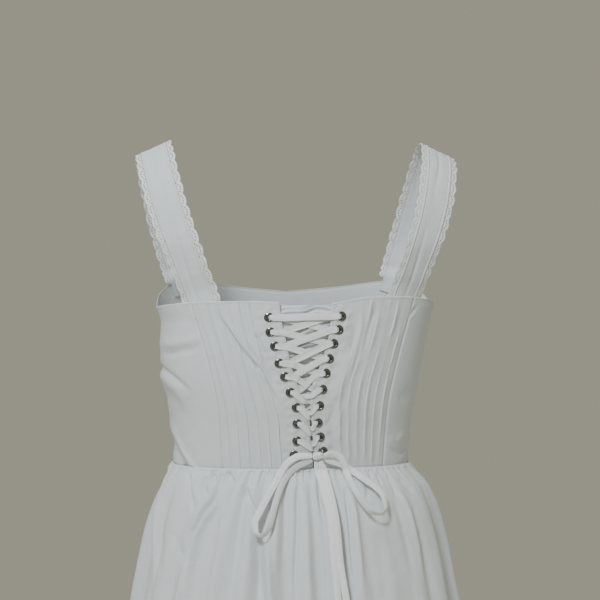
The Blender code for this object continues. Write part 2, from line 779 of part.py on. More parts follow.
def lacing_ribbon(collection):
    """One ribbon: the bar across the first row, then criss-cross down both sides, ending at the knot."""
    left, left_side, left_end = half_lacing(1)
    right, right_side, right_end = half_lacing(-1)
    stations = list(reversed(left + to_knot(left_side, *left_end)))
    stations += right + to_knot(right_side, *right_end)

    def point(column, row):
        here = stations[row]
        before, after = stations[max(row - 1, 0)], stations[min(row + 1, len(stations) - 1)]
        run = Vector((after.x - before.x, after.z - before.z))
        if run.x < 0:
            run = -run
        lean = math.atan2(run.y, run.x) if run.length > 2 else 0.0
        lean = min(max(lean, -MOST_LEAN), MOST_LEAN)
        half = here.width * (column - 0.5)
        return back_point(here.x - half * math.sin(lean), here.z + half * math.cos(lean), here.out)

    sheet = grid_of(1, len(stations) - 1, point)
    add_wall(object_from("lacing_ribbon", sheet, TAPE, collection), RIBBON_THICKNESS, side=0)


def draped_point(x, z, lift):
    """A point over the back's cloth: off the bodice above the waist and off the skirt below it."""
    share = min(max((WAIST + 8 - z) / 16, 0), 1)
    y = between(back_y(BODICE, x, z) + WALL, back_y(SKIRT, x, z), share)
    return Vector((x, y + lift, z))


def hanging_ribbon(collection, name, bends, segments):
    """A free stretch of ribbon along its bends, its width across its run and turned by its twist."""

    def centre(step):
        return draped_point(*(read(bends, "step", column, step) for column in ("x", "z", "lift")))

    def point(column, row):
        last = bends[-1].step
        step = last * row / segments
        run = centre(min(step + 0.05, last)) - centre(max(step - 0.05, 0))
        twist = math.radians(read(bends, "step", "twist", step))
        flat = Vector((run.z, 0, -run.x)).normalized()
        width = flat * math.cos(twist) + Vector((0, 1, 0)) * math.sin(twist)
        taper = between(0.6, 1, min(row / 4, 1))
        return centre(step) + width * (taper * RIBBON_WIDTH * (column - 0.5))

    sheet = grid_of(1, segments, point)
    add_wall(object_from(name, sheet, TAPE, collection), RIBBON_THICKNESS, side=0)


def bow(collection):
    knot = bmesh.new()
    bmesh.ops.create_uvsphere(knot, u_segments=10, v_segments=6, radius=0.5)
    centre = draped_point(KNOT_X, KNOT_Z, KNOT_LIFT)
    for vertex in knot.verts:
        vertex.co = (centre + Vector(a * b for a, b in zip(vertex.co, KNOT_SIZE))) * MM
    object_from("bow_knot", knot, TAPE, collection)
    hanging_ribbon(collection, "bow_loop_left", LOOP_LEFT, 30)
    hanging_ribbon(collection, "bow_loop_right", LOOP_RIGHT, 30)
    hanging_ribbon(collection, "bow_tail_left", TAIL_LEFT, 22)
    hanging_ribbon(collection, "bow_tail_right", TAIL_RIGHT, 22)


def main():
    for old in list(bpy.data.objects):
        bpy.data.objects.remove(old)
    dress = new_collection("babydoll_dress")
    cutters = new_collection("cutters")
    bodice_front(dress)
    for side, word in ((1, "left"), (-1, "right")):
        side_back(dress, side, f"side_back_{word}")
        back_panel(dress, side, f"back_panel_{word}", hole_cutters(side, f"hole_{word}", cutters))
        eyelets(dress, side, f"eyelet_{word}")
        strap(dress, side, f"strap_{word}")
        strap_lace(dress, side, -1, f"strap_lace_{word}_inner")
        strap_lace(dress, side, 1, f"strap_lace_{word}_outer")
    modesty_panel(dress)
    skirt_half(dress, "skirt_back", 0)
    skirt_half(dress, "skirt_front", FRONT)
    lacing_ribbon(dress)
    bow(dress)


main()
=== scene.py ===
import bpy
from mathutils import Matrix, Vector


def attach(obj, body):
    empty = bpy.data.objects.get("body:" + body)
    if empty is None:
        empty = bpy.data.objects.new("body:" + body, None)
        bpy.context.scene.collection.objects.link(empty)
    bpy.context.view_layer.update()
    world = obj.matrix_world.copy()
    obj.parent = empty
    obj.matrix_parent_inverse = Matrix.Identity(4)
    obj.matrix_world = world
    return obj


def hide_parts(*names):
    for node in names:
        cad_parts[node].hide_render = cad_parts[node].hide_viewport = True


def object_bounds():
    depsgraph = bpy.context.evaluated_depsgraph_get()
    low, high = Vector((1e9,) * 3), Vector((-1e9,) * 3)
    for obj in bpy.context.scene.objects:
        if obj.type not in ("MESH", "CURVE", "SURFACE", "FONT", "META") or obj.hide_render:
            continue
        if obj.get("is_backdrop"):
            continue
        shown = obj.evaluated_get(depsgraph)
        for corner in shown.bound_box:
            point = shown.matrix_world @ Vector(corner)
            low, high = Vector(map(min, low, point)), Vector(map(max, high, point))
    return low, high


bl_info = {
    "name": "Babydoll dress",
    "version": (1, 0, 0),
    "blender": (4, 5, 0),
    "location": "View3D > Sidebar > Dress",
    "description": "Cloth, lace, ribbon and eyelets of a laced babydoll dress, with its stage",
    "category": "Object",
}

import math
from collections import namedtuple
from functools import lru_cache

import bmesh
import bpy
import numpy as np
from mathutils import Matrix, Vector

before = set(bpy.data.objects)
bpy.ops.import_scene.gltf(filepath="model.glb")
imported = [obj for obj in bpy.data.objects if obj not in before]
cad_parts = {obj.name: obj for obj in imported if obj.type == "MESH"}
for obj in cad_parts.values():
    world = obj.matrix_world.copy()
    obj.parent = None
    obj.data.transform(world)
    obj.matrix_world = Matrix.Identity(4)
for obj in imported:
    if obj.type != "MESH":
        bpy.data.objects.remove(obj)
CAD_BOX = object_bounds()

# Sizes below are in millimetres and angles in degrees, turned from the centre back to the wearer's left (+X).
MM = 0.001
WALL = 1.1
SEAM_GAP = 0.3
SIDE_SEAM = 90.0
FRONT = 180.0
SIDES = ((1, "left"), (-1, "right"))
WAIST = -335.0
HEM = -765.0

# Spreads of the pieces' grids: the front's in degrees, the others' in nominal millimetres
FRONT_SPREAD = 180
SIDE_BACK_WIDTH = 75
PANEL_WIDTH = 90
HALF_WAIST = 330


def rows_of(kind, *rows):
    """A table from plain rows of its columns."""
    return tuple(kind(*row) for row in rows)


def numbered(kind, *rows):
    """A table whose first column is the row's number."""
    return tuple(kind(n, *row) for n, row in enumerate(rows))


# Sections of the worn form
ROUNDNESS = 2.35
Section = namedtuple("Section", "z left right back front")
BODICE = rows_of(Section,
    (-95, 151, 151, 80, 98), (-130, 151, 150, 84, 102), (-166, 149, 148, 86, 106),
    (-185, 144.5, 144, 87, 110), (-209, 145.5, 139, 87.5, 114), (-238, 144, 133, 87.5, 115),
    (-270, 137, 127, 86, 109), (-295, 133, 123, 83, 103), (WAIST, 131, 120, 79, 97),
)
SKIRT = rows_of(Section,
    (WAIST, 133, 122, 81, 99), (-347, 142, 132, 90, 108), (-360, 148, 143, 98, 115),
    (-386, 155, 153, 108, 124), (-426, 163, 161, 118, 133), (-463, 169, 168, 126, 140),
    (-560, 186, 186, 144, 157), (-650, 203, 203, 159, 172), (HEM, 224, 224, 176, 190),
)
Lobe = namedtuple("Lobe", "angle z reach wide tall")
BUST = Lobe(angle=147, z=-224, reach=13, wide=21, tall=40)
DART_FROM_MIDDLE = 31
DART_RISE = (-218, -250)

Rim = namedtuple("Rim", "angle z")
TOP_EDGE = rows_of(Rim,
    (-180, -151), (-150, -146), (-122, -139), (-104, -153), (-90, -165), (-74, -160.5), (-57, -157),
    (-40, -157.5), (-28, -161), (-17, -164), (0, -163.5), (17, -163), (34, -162), (57, -162.5),
    (74, -165.5), (90, -168), (104, -153), (122, -139), (150, -146), (180, -151),
)
Seam = namedtuple("Seam", "z x")
BACK_SEAM = rows_of(Seam,
    (-130, 124), (-165, 116), (-208, 103), (-237, 95.5), (-276, 88), (WAIST, 84),
)
Placket = namedtuple("Placket", "z left right")
PLACKET = rows_of(Placket,
    (-150, 27.5, -28.5), (-163, 26.6, -27.4), (-187, 23.8, -25.6), (-203, 20.0, -22.9), (-226, 15.3, -15.8),
    (-248, 8.2, -6.9), (-270, 0.8, -4.9), (-287, -4.6, -7.2), (-303, -5.4, -8.0), (-319, -7.6, -11.0),
    (WAIST, -8.6, -11.6),
)
TUCK_PLACES = (0.345, 0.458, 0.572, 0.688, 0.798, 0.905)
# A pintuck across its width: the steep side faces the centre back, the other lies on the cloth
TuckPoint = namedtuple("TuckPoint", "away height")
TUCK_PROFILE = rows_of(TuckPoint,
    (-0.9, 0), (-0.45, -0.16), (-0.12, -0.1), (0.06, 0.8), (0.4, 1.0), (1.0, 0.8), (1.7, 0.45), (2.4, 0.14),
    (3.1, 0),
)

# The eyelets' centres, a row of two at a time from the top
Row = namedtuple("Row", "left_x left_z right_x right_z")
EYELETS = rows_of(Row,
    (37.5, -179.0, -37.2, -177.8), (36.1, -194.0, -34.3, -191.7), (31.5, -208.4, -28.9, -206.0),
    (27.0, -226.0, -24.3, -221.5), (21.3, -239.7, -20.8, -236.4), (15.6, -255.8, -17.4, -252.9),
    (9.2, -271.4, -14.2, -269.7), (8.1, -288.1, -13.0, -287.3), (8.1, -306.0, -15.4, -302.0),
    (10.9, -320.8, -18.7, -317.0),
)
RING_OUTER = 5.2
RING_HOLE = 2.55
RING_BARREL = 3.05
RING_TOP = 2.1
# A ring's cross section as radius and height over the cloth's inner face
RING_OUTLINE = (
    (RING_HOLE, -0.5), (RING_HOLE, 1.6), (RING_HOLE + 0.15, 1.95), (RING_HOLE + 0.55, RING_TOP),
    (RING_OUTER - 1.4, 2.06), (RING_OUTER - 0.6, 1.86), (RING_OUTER - 0.1, 1.5), (RING_OUTER, 1.2),
    (RING_OUTER - 0.2, 1.15), (RING_BARREL, 1.3), (RING_BARREL, -0.5),
)
HOLE_RADIUS = 3.4

RIBBON_IN_HOLE = 3.6
RIBBON_IN_SLIT = 4.8
OVER_CLOTH = WALL + SEAM_GAP + 0.3
OVER_RING = RING_TOP + SEAM_GAP + 0.3
UNDER_CLOTH = -SEAM_GAP - 0.35
RIBBON_COLUMNS = (-1, -0.94, -0.66, -0.33, 0, 0.33, 0.66, 0.94, 1)
NARROW_GAP = 12
MOST_LEAN = math.radians(42)

MODESTY_HALF_WIDTH = 50
MODESTY_TOP = -166
MODESTY_BOTTOM = -334.4

GATHERS = 26
SKIRT_TOP = WAIST - 2 * SEAM_GAP
Swell = namedtuple("Swell", "z gather fold")
SWELL = rows_of(Swell,
    (SKIRT_TOP, 0.9, 0), (-341, 2.0, 0), (-350, 2.5, 0.6), (-364, 1.9, 1.8), (-384, 1.0, 3.0),
    (-410, 0.4, 4.0), (-445, 0, 4.8), (-600, 0, 6.2), (HEM, 0, 7.4),
)
Fold = namedtuple("Fold", "angle height")
BACK_FOLDS = rows_of(Fold,
    (-76, 0.9), (-62, 0.6), (-50, 0.3), (-37, 0.1), (-23, 0.45), (-12, 1.0), (0.5, 0.7), (18, 0.9),
    (28.5, 1.0), (41, 0.5), (54, 0.9), (65, 0.45), (76, 1.0),
)
FRONT_FOLDS = 12
HEM_TURN = 15
# The skirt's rows: those in the seam, then spans of them as first, last and count
SEAM_ROWS = (WAIST + 0.5, WAIST, -335.5, -336.0, -336.6, -337.2)
SKIRT_ROWS = (
    (-338, -352, 22), (-353.5, -400, 26), (-403, -470, 20), (-475, HEM + HEM_TURN + 1, 34),
    (HEM + HEM_TURN - 1, HEM, 6),
)

# The straps' middle line. A row without y lies inside the bodice.
StrapRow = namedtuple("StrapRow", "step x y z turn lean")
STRAP = numbered(StrapRow,
    (100.5, None, -177, 26, 0), (106.5, None, -159, 26, 0), (115.5, 65.5, -134, 25, 0),
    (125, 66, -108, 22, 1), (134.5, 61, -82, 18, 3), (142, 53, -57, 14, 7), (148, 40, -32, 9, 14),
    (152, 23, -11, 4, 21), (153.5, 3, -0.2, 0, 25), (152.5, -17, -6, -5, 22), (149.5, -35, -23, -10, 15),
    (144.5, -50, -47, -15, 8), (138.5, -61, -74, -20, 4), (131.5, -68, -101, -25, 1),
    (125, -71.5, -124, -29, 0), (121, None, -139, -30, 0), (116.5, None, -154, -30, 0),
)
FREE_ROWS = tuple(row for row in STRAP if row.y is not None)
STRAP_WIDTH = 28
STRAP_INSIDE = -WALL - SEAM_GAP - 0.3
LACE_LAP = 1.2
# Steps of a strap: where its lace starts and ends, and how long a scallop is
LACE_FROM = 1.0
LACE_TO = 15.0
SCALLOP = 0.5
SCALLOPS = round((LACE_TO - LACE_FROM) / SCALLOP) + 1
ROWS_A_SCALLOP = 12

STITCH_FROM_PLACKET = 1.9
STITCH_FROM_TOP = 2.6
STITCH_FROM_STRAP_EDGE = 2.4
STITCH_FROM_HEM = 13.0
# The part of the spacing that a stitch fills, and its cross sections: place along it, radius and rise
STITCH_SHARE = 0.72
STITCH_RINGS = ((0, 0.12, -0.02), (0.2, 0.22, 0.12), (0.8, 0.22, 0.12), (1, 0.12, -0.02))

# Pitches in metres of the cotton's threads and the ribbon's ribs
THREAD_PITCH = 0.00055
RIB_PITCH = 0.0006

# The bow's strands: x and z on the back, the height over the cloth and the twist
Bend = namedtuple("Bend", "step x z lift twist")
KNOT_X = -12.6
KNOT_Z = -321
KNOT_LIFT = 6.8
KNOT_SIZE = (11.5, 6.2, 9.0)
LOOP_LEFT = numbered(Bend,
    (-6.8, -321.0, 6.6, 10), (5, -321, 7.0, 15), (17, -326, 8.0, 20), (26, -338, 9.0, 20),
    (37, -354, 9.5, 20), (48, -372, 10.5, 18), (54.5, -385, 11.5, 26), (54, -394, 12.0, 40),
    (48, -397.5, 12.0, 46), (41, -391, 10.5, 36), (37, -380, 9.0, 24), (32.2, -364, 7.6, 14),
    (25.4, -349, 6.6, 14), (15, -336.5, 6.0, 16), (2, -328.5, 5.6, 15), (-7.0, -325.2, 5.6, 10),
)
LOOP_RIGHT = numbered(Bend,
    (-18.5, -321.0, 6.8, 5), (-27, -319, 7.8, 15), (-35, -321.5, 9.8, 15), (-40, -331, 11.5, 20),
    (-45, -347, 12.0, 30), (-54, -364, 12.5, 40), (-65, -376.5, 13.0, 48), (-75, -379, 13.0, 55),
    (-81, -372.5, 12.0, 45), (-79, -362, 10.5, 32), (-71, -352.5, 9.0, 30), (-61, -345.5, 7.6, 25),
    (-50, -338, 6.4, 20), (-38, -330.5, 5.0, 15), (-28, -327, 4.4, 10), (-18.6, -324.6, 4.8, 10),
)
TAIL_LEFT = numbered(Bend,
    (-11.0, -326.4, 5.4, 0), (-13.0, -335, 5.8, 0), (-16.4, -352, 5.6, 0), (-20.2, -368, 6.0, 5),
    (-22.8, -385, 6.4, 8), (-23.8, -405, 6.6, 6), (-25.2, -430, 7.0, 2), (-27.6, -457, 7.0, -4),
    (-30.0, -487, 7.4, -6), (-31.2, -520, 8.0, -2), (-31.0, -552, 8.4, 4), (-29.6, -580, 8.6, 8),
)
TAIL_RIGHT = numbered(Bend,
    (-15.2, -326.4, 8.0, 0), (-18.4, -335, 8.8, 0), (-22.4, -352, 8.8, 0), (-26.2, -372, 9.0, -4),
    (-28.8, -395, 9.2, -4), (-30.4, -422, 9.4, 0), (-34.0, -450, 9.6, 6), (-38.4, -478, 9.8, 8),
    (-42.0, -508, 10.0, 4), (-44.2, -538, 10.2, -2), (-45.0, -564, 10.4, -4),
)

# Where the skirt's back turns sharply to its left side
Edge = namedtuple("Edge", "z angle")
LIT_EDGE = rows_of(Edge,
    (-340, 85), (-360, 80), (-381, 76.5), (-411, 73.6), (-456, 71), (-520, 70),
)

# Creases: a path of (x, z), its half width and its height, negative for a trough
Crease = namedtuple("Crease", "path width height")
CREASE_FADE = 0.3
BACK_CREASES = rows_of(Crease,
    (((90, -172), (83.7, -185), (72, -202), (58, -222), (45, -235), (32.4, -260), (28.6, -272)), 1.6, -4.0),
    (((84, -172), (77, -188), (66, -207), (52, -226), (39, -245), (28, -264)), 2.4, 2.5),
    (((69, -199), (58.5, -218), (48, -231), (37, -254)), 1.5, -3.2),
    (((64, -192), (54, -209), (44, -226), (34, -243)), 2.6, 1.5),
    (((53, -194), (46, -206), (40, -222)), 1.5, -2.2), (((46, -214), (36, -236), (27, -258)), 5.0, -1.8),
    (((-46, -170), (-52, -186), (-50, -205), (-43, -222)), 4.5, -1.2),
    (((-48, -205), (-42, -232), (-34, -252), (-28, -270)), 5.5, 1.5),
    (((-60, -168), (-58, -192), (-50, -222), (-42, -250)), 2.0, 1.0),
    (((-32, -262), (-26, -285), (-30, -305), (-38, -324)), 3.0, -1.1),
    (((-38, -270), (-33, -292), (-37, -312)), 2.4, 0.9),
    (((-76, -165), (-66, -192), (-60, -218)), 2.2, -1.0),
)
SIDE_CREASES = rows_of(Crease,
    (((156, -222), (143, -234), (131, -243), (114, -258)), 2.6, -2.4),
    (((156, -230), (143, -243), (131, -254), (120, -276)), 4.0, 1.8),
    (((150, -216), (136, -217), (122, -214), (98, -206)), 4.2, -1.3),
    (((150, -206), (134, -207), (118, -204), (96, -196)), 4.5, 1.2),
    (((140, -252), (128, -270), (120, -292)), 7.0, -1.4),
    (((141, -258), (136, -286), (130, -304), (121, -322), (111, -337), (100, -352)), 2.6, 1.9),
    (((141, -288), (136, -304), (129, -320), (121, -337), (112, -352)), 3.4, -2.4),
    (((118, -180), (126, -200), (138, -215)), 6.0, 0.9),
    (((-124, -165), (-113, -176), (-103, -187)), 2.0, -1.4),
    (((-118, -172), (-108, -182), (-98, -196)), 3.2, 1.0),
    (((-118, -316), (-104, -324), (-90, -316)), 3.0, -1.2),
    (((-112, -300), (-100, -310), (-88, -304)), 4.0, 0.9),
    (((-122, -250), (-110, -262), (-98, -266)), 7.0, -0.9),
)
SKIRT_CREASES = rows_of(Crease,
    (((92, -338), (91, -351), (94, -364), (108, -381), (117, -397), (122, -416), (126, -440),
      (131, -500)), 2.2, -6.2),
    (((84, -342), (84, -356), (90, -370), (102, -384), (111, -400), (116, -420), (120, -450)), 3.2, 4.2),
    (((118, -338), (119, -357), (113, -380)), 1.8, -3.8),
    (((137, -396), (132, -408), (127, -420), (126, -434)), 2.4, -1.6),
    (((146, -398), (147, -420), (149, -450)), 2.2, -1.3), (((84, -337), (90, -353)), 1.2, -4.4),
    (((79, -337), (72, -350)), 1.2, -4.2), (((68, -336), (61, -357), (56, -369), (49, -386)), 1.8, -5.0),
    (((60, -346), (54, -364), (47, -376)), 2.2, 1.4), (((102, -338), (104, -352), (99, -366)), 1.5, -3.6),
    (((96, -336), (93, -344), (95, -352)), 1.2, -3.4),
    (((56, -380), (54, -410), (48, -460), (46, -520)), 4.2, -4.2),
    (((45, -388), (41, -430), (37, -480)), 3.0, 2.4), (((22, -346), (24, -380), (28, -440)), 2.6, -1.4),
    (((8, -346), (10, -362), (11, -390), (14, -430), (15, -490)), 2.2, -3.2),
    (((-9, -342), (-13, -362), (-17, -384), (-19, -430), (-20, -490)), 2.2, -2.8),
    (((-24, -348), (-30, -372), (-36, -402), (-37, -460)), 2.2, -2.0),
    (((-40, -341), (-42, -372), (-44, -404), (-47, -470)), 1.8, -3.0),
    (((-46, -352), (-49, -380), (-52, -420), (-55, -470)), 3.0, 2.4),
    (((-60, -342), (-64, -356), (-62, -372)), 1.8, -1.4), (((-76, -338), (-81, -355)), 1.3, -2.2),
    (((-68, -337), (-70, -347)), 1.2, -1.8), (((-86, -342), (-93, -354), (-97, -368)), 1.8, -1.5),
    (((-99, -347), (-108, -356), (-118, -364)), 1.8, -2.0),
    (((-96, -354), (-102, -366), (-108, -377), (-117, -415), (-126, -470)), 2.8, 2.6),
    (((-90, -362), (-97, -380), (-106, -416), (-114, -460)), 4.0, -1.6),
    (((-72, -392), (-77, -430), (-84, -480)), 7.0, -1.2),
)

# The stage, in metres
CAMERA_LENS = 94.4
CAMERA_PLACE = (0.188, 1.690, -0.161)
CAMERA_AIM = (-0.113, -0.9936, 0)
ROOM_LIGHT = 0.72
FLOOR_Z = -0.9
FLOOR_RADIUS = 1.45
Light = namedtuple("Light", "name place target size power colour")
LIGHTS = rows_of(Light,
    ("window", (0.85, 1.6, 1.3), (0, 0, -0.35), 0.4, 47, (0.92, 0.97, 1.0)),
    ("ceiling", (0.3, 0.8, 1.9), (0, 0, -0.3), 0.8, 11, (1.0, 0.98, 0.95)),
    ("front_side", (-0.8, -2.3, 0.9), (0, 0, -0.4), 1.6, 30, (1.0, 0.98, 0.96)),
)


@lru_cache(maxsize=None)
def column_of(rows, column, key):
    """A table's column as sorted keys, values and slopes that never overshoot."""
    keys, values = np.array(sorted((getattr(row, key), getattr(row, column)) for row in rows), float).T
    rises = np.diff(values) / np.diff(keys)
    slopes = np.concatenate((rises[:1], np.zeros(len(rises) - 1), rises[-1:]))
    product = rises[:-1] * rises[1:]
    same_way = product > 0
    slopes[1:-1][same_way] = 2 * product[same_way] / (rises[:-1] + rises[1:])[same_way]
    return keys, values, slopes


def read(rows, column, at, key="z"):
    """A table's column at any keys: a smooth curve through its rows, held beyond the first and the last."""
    keys, values, slopes = column_of(rows, column, key)
    at = np.clip(at, keys[0], keys[-1])
    n = np.clip(np.searchsorted(keys, at) - 1, 0, len(keys) - 2)
    span = keys[n + 1] - keys[n]
    t = (at - keys[n]) / span
    rise = values[n + 1] - values[n]
    start, end = slopes[n] * span, slopes[n + 1] * span
    return values[n] + t * start + t * t * (3 * rise - 2 * start - end) + t**3 * (start + end - 2 * rise)


def read_half(rows, plus, minus, sign, z):
    """One column of a table where sign is above 0 and the other elsewhere."""
    return np.where(sign > 0, read(rows, plus, z), read(rows, minus, z))


def between(low, high, t):
    return low + (high - low) * t


def smooth(low, high, value):
    """0 up to low, 1 from high on, with a soft step between them."""
    t = np.clip((value - low) / (high - low), 0, 1)
    return t * t * (3 - 2 * t)


def bell(away, wide):
    """1 in the middle, 0.37 at wide and almost 0 at twice that."""
    return np.exp(-((away / wide) ** 2))


def unit(vectors):
    return vectors / np.linalg.norm(vectors, axis=-1, keepdims=True)


def polar(angle, reach, z):
    turn = np.radians(angle)
    return np.stack(np.broadcast_arrays(reach * np.sin(turn), reach * np.cos(turn), z), axis=-1)


def form_reach(table, angle, z):
    """The distance from the middle to the form's wall."""
    sine, cosine = np.sin(np.radians(angle)), np.cos(np.radians(angle))
    across = read_half(table, "left", "right", sine, z)
    deep = read_half(table, "back", "front", cosine, z)
    return (np.abs(sine / across) ** ROUNDNESS + np.abs(cosine / deep) ** ROUNDNESS) ** (-1 / ROUNDNESS)


def bodice_wall(angle, z):
    turn = np.abs((angle + FRONT) % 360 - FRONT) - BUST.angle
    lobes = BUST.reach * bell(turn, BUST.wide) * bell(z - BUST.z, BUST.tall)
    return polar(angle, form_reach(BODICE, angle, z) + lobes, z)


def outward(wall, angle, z):
    """The unit normals of a wall(angle, z)."""
    around = wall(angle - 1, z) - wall(angle + 1, z)
    up = wall(angle, z + 2) - wall(angle, z - 2)
    return unit(np.cross(around, up))


def bodice_point(angle, z, out):
    angle, z, out = np.broadcast_arrays(angle, z, out)
    return bodice_wall(angle, z) + outward(bodice_wall, angle, z) * out[..., None]


def depth_share(x, across):
    """How much of the full depth is left at x, on a section that reaches across to its side."""
    return (1 - np.minimum(np.abs(x) / across, 1) ** ROUNDNESS) ** (1 / ROUNDNESS)


def back_y(table, x, z):
    across = read_half(table, "left", "right", np.asarray(x), z)
    return read(table, "back", z) * depth_share(x, across)


def back_angle(x, z):
    return np.degrees(np.arctan2(x, back_y(BODICE, x, z)))


def back_point(x, z, out=0.0):
    return bodice_point(back_angle(x, z), z, out)


def top_edge(angle):
    return read(TOP_EDGE, "z", (angle + FRONT) % 360 - FRONT, "angle")


def placket_x(side, z):
    return read(PLACKET, "left" if side > 0 else "right", z)


def eyelet_centre(side, row):
    place = EYELETS[row]
    return (place.left_x, place.left_z) if side > 0 else (place.right_x, place.right_z)


def ripple(a, b, seed):
    """A calm irregular wave over two lengths in millimetres, from about -1 to 1."""
    return (
        np.sin(a / 9.1 + 1.3 * np.sin(b / 23 + seed) + seed)
        + np.sin(b / 12.7 + 1.7 * np.sin(a / 31 + 2 * seed) + 2.1 * seed)
        + np.sin((a + b) / 17.3 + np.sin((a - b) / 27 + seed))
    ) / 3


def crease_height(x, z, creases):
    """The height that creases add at each point, fading towards both their ends."""
    total = np.zeros(np.broadcast(x, z).shape)
    for crease in creases:
        path = np.array(crease.path, float)
        nearest = np.full(total.shape, 1e6)
        along = np.zeros(total.shape)
        for n, (start, end) in enumerate(zip(path, path[1:])):
            run = end - start
            t = np.clip(((x - start[0]) * run[0] + (z - start[1]) * run[1]) / (run @ run), 0, 1)
            away = np.hypot(x - start[0] - t * run[0], z - start[1] - t * run[1])
            closer = away < nearest
            nearest = np.where(closer, away, nearest)
            along = np.where(closer, (n + t) / (len(path) - 1), along)
        fade = smooth(0, CREASE_FADE, along) * smooth(0, CREASE_FADE, 1 - along)
        total += crease.height * fade * bell(nearest, crease.width)
    return total


def finished(mesh, finish, nodes):
    """A piece from its mesh: smooth, with its material, on its body and in place of its CAD nodes."""
    piece = bpy.data.objects.new(mesh.name, mesh)
    bpy.context.scene.collection.objects.link(piece)
    mesh.shade_smooth()
    mesh.materials.clear()
    mesh.materials.append(finish)
    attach(piece, "root")
    if nodes:
        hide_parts(*nodes)
    return piece


def mesh_from(shape, name):
    mesh = bpy.data.meshes.new(name)
    shape.to_mesh(mesh)
    shape.free()
    return mesh


def corner_vertices(mesh):
    corners = np.empty(len(mesh.loops), np.int32)
    mesh.loops.foreach_get("vertex_index", corners)
    return corners


def add_map(mesh, name, across, along):
    """A UV map from two measures at each vertex."""
    both = np.stack((across, along), axis=1)[corner_vertices(mesh)]
    mesh.uv_layers.new(name=name).uv.foreach_set("vector", both.astype(np.float32).ravel())


def woven_mesh(name, columns, rows, point, flip=False):
    """A grid whose points are placed by point(columns, rows). Its UV map measures the cloth in metres."""
    sheet = bmesh.new()
    bmesh.ops.create_grid(sheet, x_segments=len(columns) - 1, y_segments=len(rows) - 1, size=0.5)
    if flip:
        bmesh.ops.reverse_faces(sheet, faces=sheet.faces)
    mesh = mesh_from(sheet, name)
    flat = np.empty(len(mesh.vertices) * 3, np.float32)
    mesh.vertices.foreach_get("co", flat)
    flat = flat.reshape(-1, 3)
    column = np.rint((flat[:, 0] + 0.5) * (len(columns) - 1)).astype(int)
    row = np.rint((0.5 - flat[:, 1]) * (len(rows) - 1)).astype(int)
    placed = point(np.asarray(columns, float)[None, :], np.asarray(rows, float)[:, None])
    placed = np.broadcast_to(placed, (len(rows), len(columns), 3)) * MM
    mesh.vertices.foreach_set("co", placed[row, column].astype(np.float32).ravel())
    across = np.linalg.norm(np.diff(placed, axis=1), axis=2).cumsum(axis=1)
    down = np.linalg.norm(np.diff(placed, axis=0), axis=2).cumsum(axis=0)
    across = np.concatenate((np.zeros((len(rows), 1)), across), axis=1)
    down = np.concatenate((np.zeros((1, len(columns))), down), axis=0)
    add_map(mesh, "cloth", across[row, column], down[row, column])
    mesh.update()
    return mesh


def thicken(piece, thickness, offset=-1.0):
    wall = piece.modifiers.new("cloth", "SOLIDIFY")
    wall.thickness = thickness * MM
    wall.offset = offset
    return piece


class Socket:
    """A shader value that can be added, multiplied and so on, each time with a Math node."""

    def __init__(self, finish, output):
        self.finish = finish
        self.output = output

    def maths(self, operation, *values):
        return self.finish.node("ShaderNodeMath", {"operation": operation}, dict(enumerate(values)))

    def __add__(self, other):
        return self.maths("ADD", self, other)

    def __radd__(self, other):
        return self.maths("ADD", other, self)

    def __sub__(self, other):
        return self.maths("SUBTRACT", self, other)

    def __rsub__(self, other):
        return self.maths("SUBTRACT", other, self)

    def __mul__(self, other):
        return self.maths("MULTIPLY", self, other)

    def __rmul__(self, other):
        return self.maths("MULTIPLY", other, self)

    def sine(self):
        return self.maths("SINE", self)

    def fraction(self):
        return self.maths("FRACT", self)

    def smaller(self, other):
        return self.maths("MINIMUM", self, other)

    def above(self, other):
        return self.maths("GREATER_THAN", self, other)

    def root(self):
        return self.maths("SQRT", self)


class Finish:
    """A material with a Principled shader, and the nodes that are added to it."""

    def __init__(self, name, **constants):
        self.material = bpy.data.materials.new(name)
        self.material.use_nodes = True
        self.tree = self.material.node_tree
        self.shader = self.tree.nodes["Principled BSDF"]
        for socket, value in constants.items():
            self.shader.inputs[socket.replace("_", " ")].default_value = value

    def outputs(self, kind, settings=None, values=None):
        """A new node's outputs, its settings and then its sockets set."""
        made = self.tree.nodes.new(kind)
        for setting, value in (settings or {}).items():
            setattr(made, setting, value)
        for socket, value in (values or {}).items():
            if isinstance(value, Socket):
                self.tree.links.new(value.output, made.inputs[socket])
            else:
                made.inputs[socket].default_value = value
        return made.outputs

    def node(self, kind, settings=None, values=None, out=0):
        return Socket(self, self.outputs(kind, settings, values)[out])

    def measured(self, name="cloth"):
        """The two measures of one of the piece's own UV maps, in metres on the cloth's."""
        uv = self.node("ShaderNodeUVMap", {"uv_map": name})
        parts = self.outputs("ShaderNodeSeparateXYZ", values={0: uv})
        return Socket(self, parts[0]), Socket(self, parts[1])

    def noise(self, scale, detail):
        place = self.node("ShaderNodeTexCoord", out="Object")
        return self.node("ShaderNodeTexNoise", values={"Vector": place, "Scale": scale, "Detail": detail})

    def feed(self, socket, value):
        self.tree.links.new(value.output, self.shader.inputs[socket])

    def colour(self, factor, shade, colour):
        """The base colour, between a darker shade of a colour and the colour itself."""
        low, high = ((*(share * part for part in colour), 1) for share in (shade, 1))
        values = {0: factor, 6: low, 7: high}
        self.feed("Base Color", self.node("ShaderNodeMix", {"data_type": "RGBA"}, values, out=2))

    def bump(self, height, depth, strength):
        """Bump from a height of 0 to 1 that stands for depth in metres."""
        values = {"Height": height, "Distance": depth, "Strength": strength}
        self.feed("Normal", self.node("ShaderNodeBump", values=values))


def made_once(name, recipe):
    """A material by its name, made when it is first asked for."""
    found = bpy.data.materials.get(name)
    return found or recipe(name, bpy.context.scene.dress_colours)


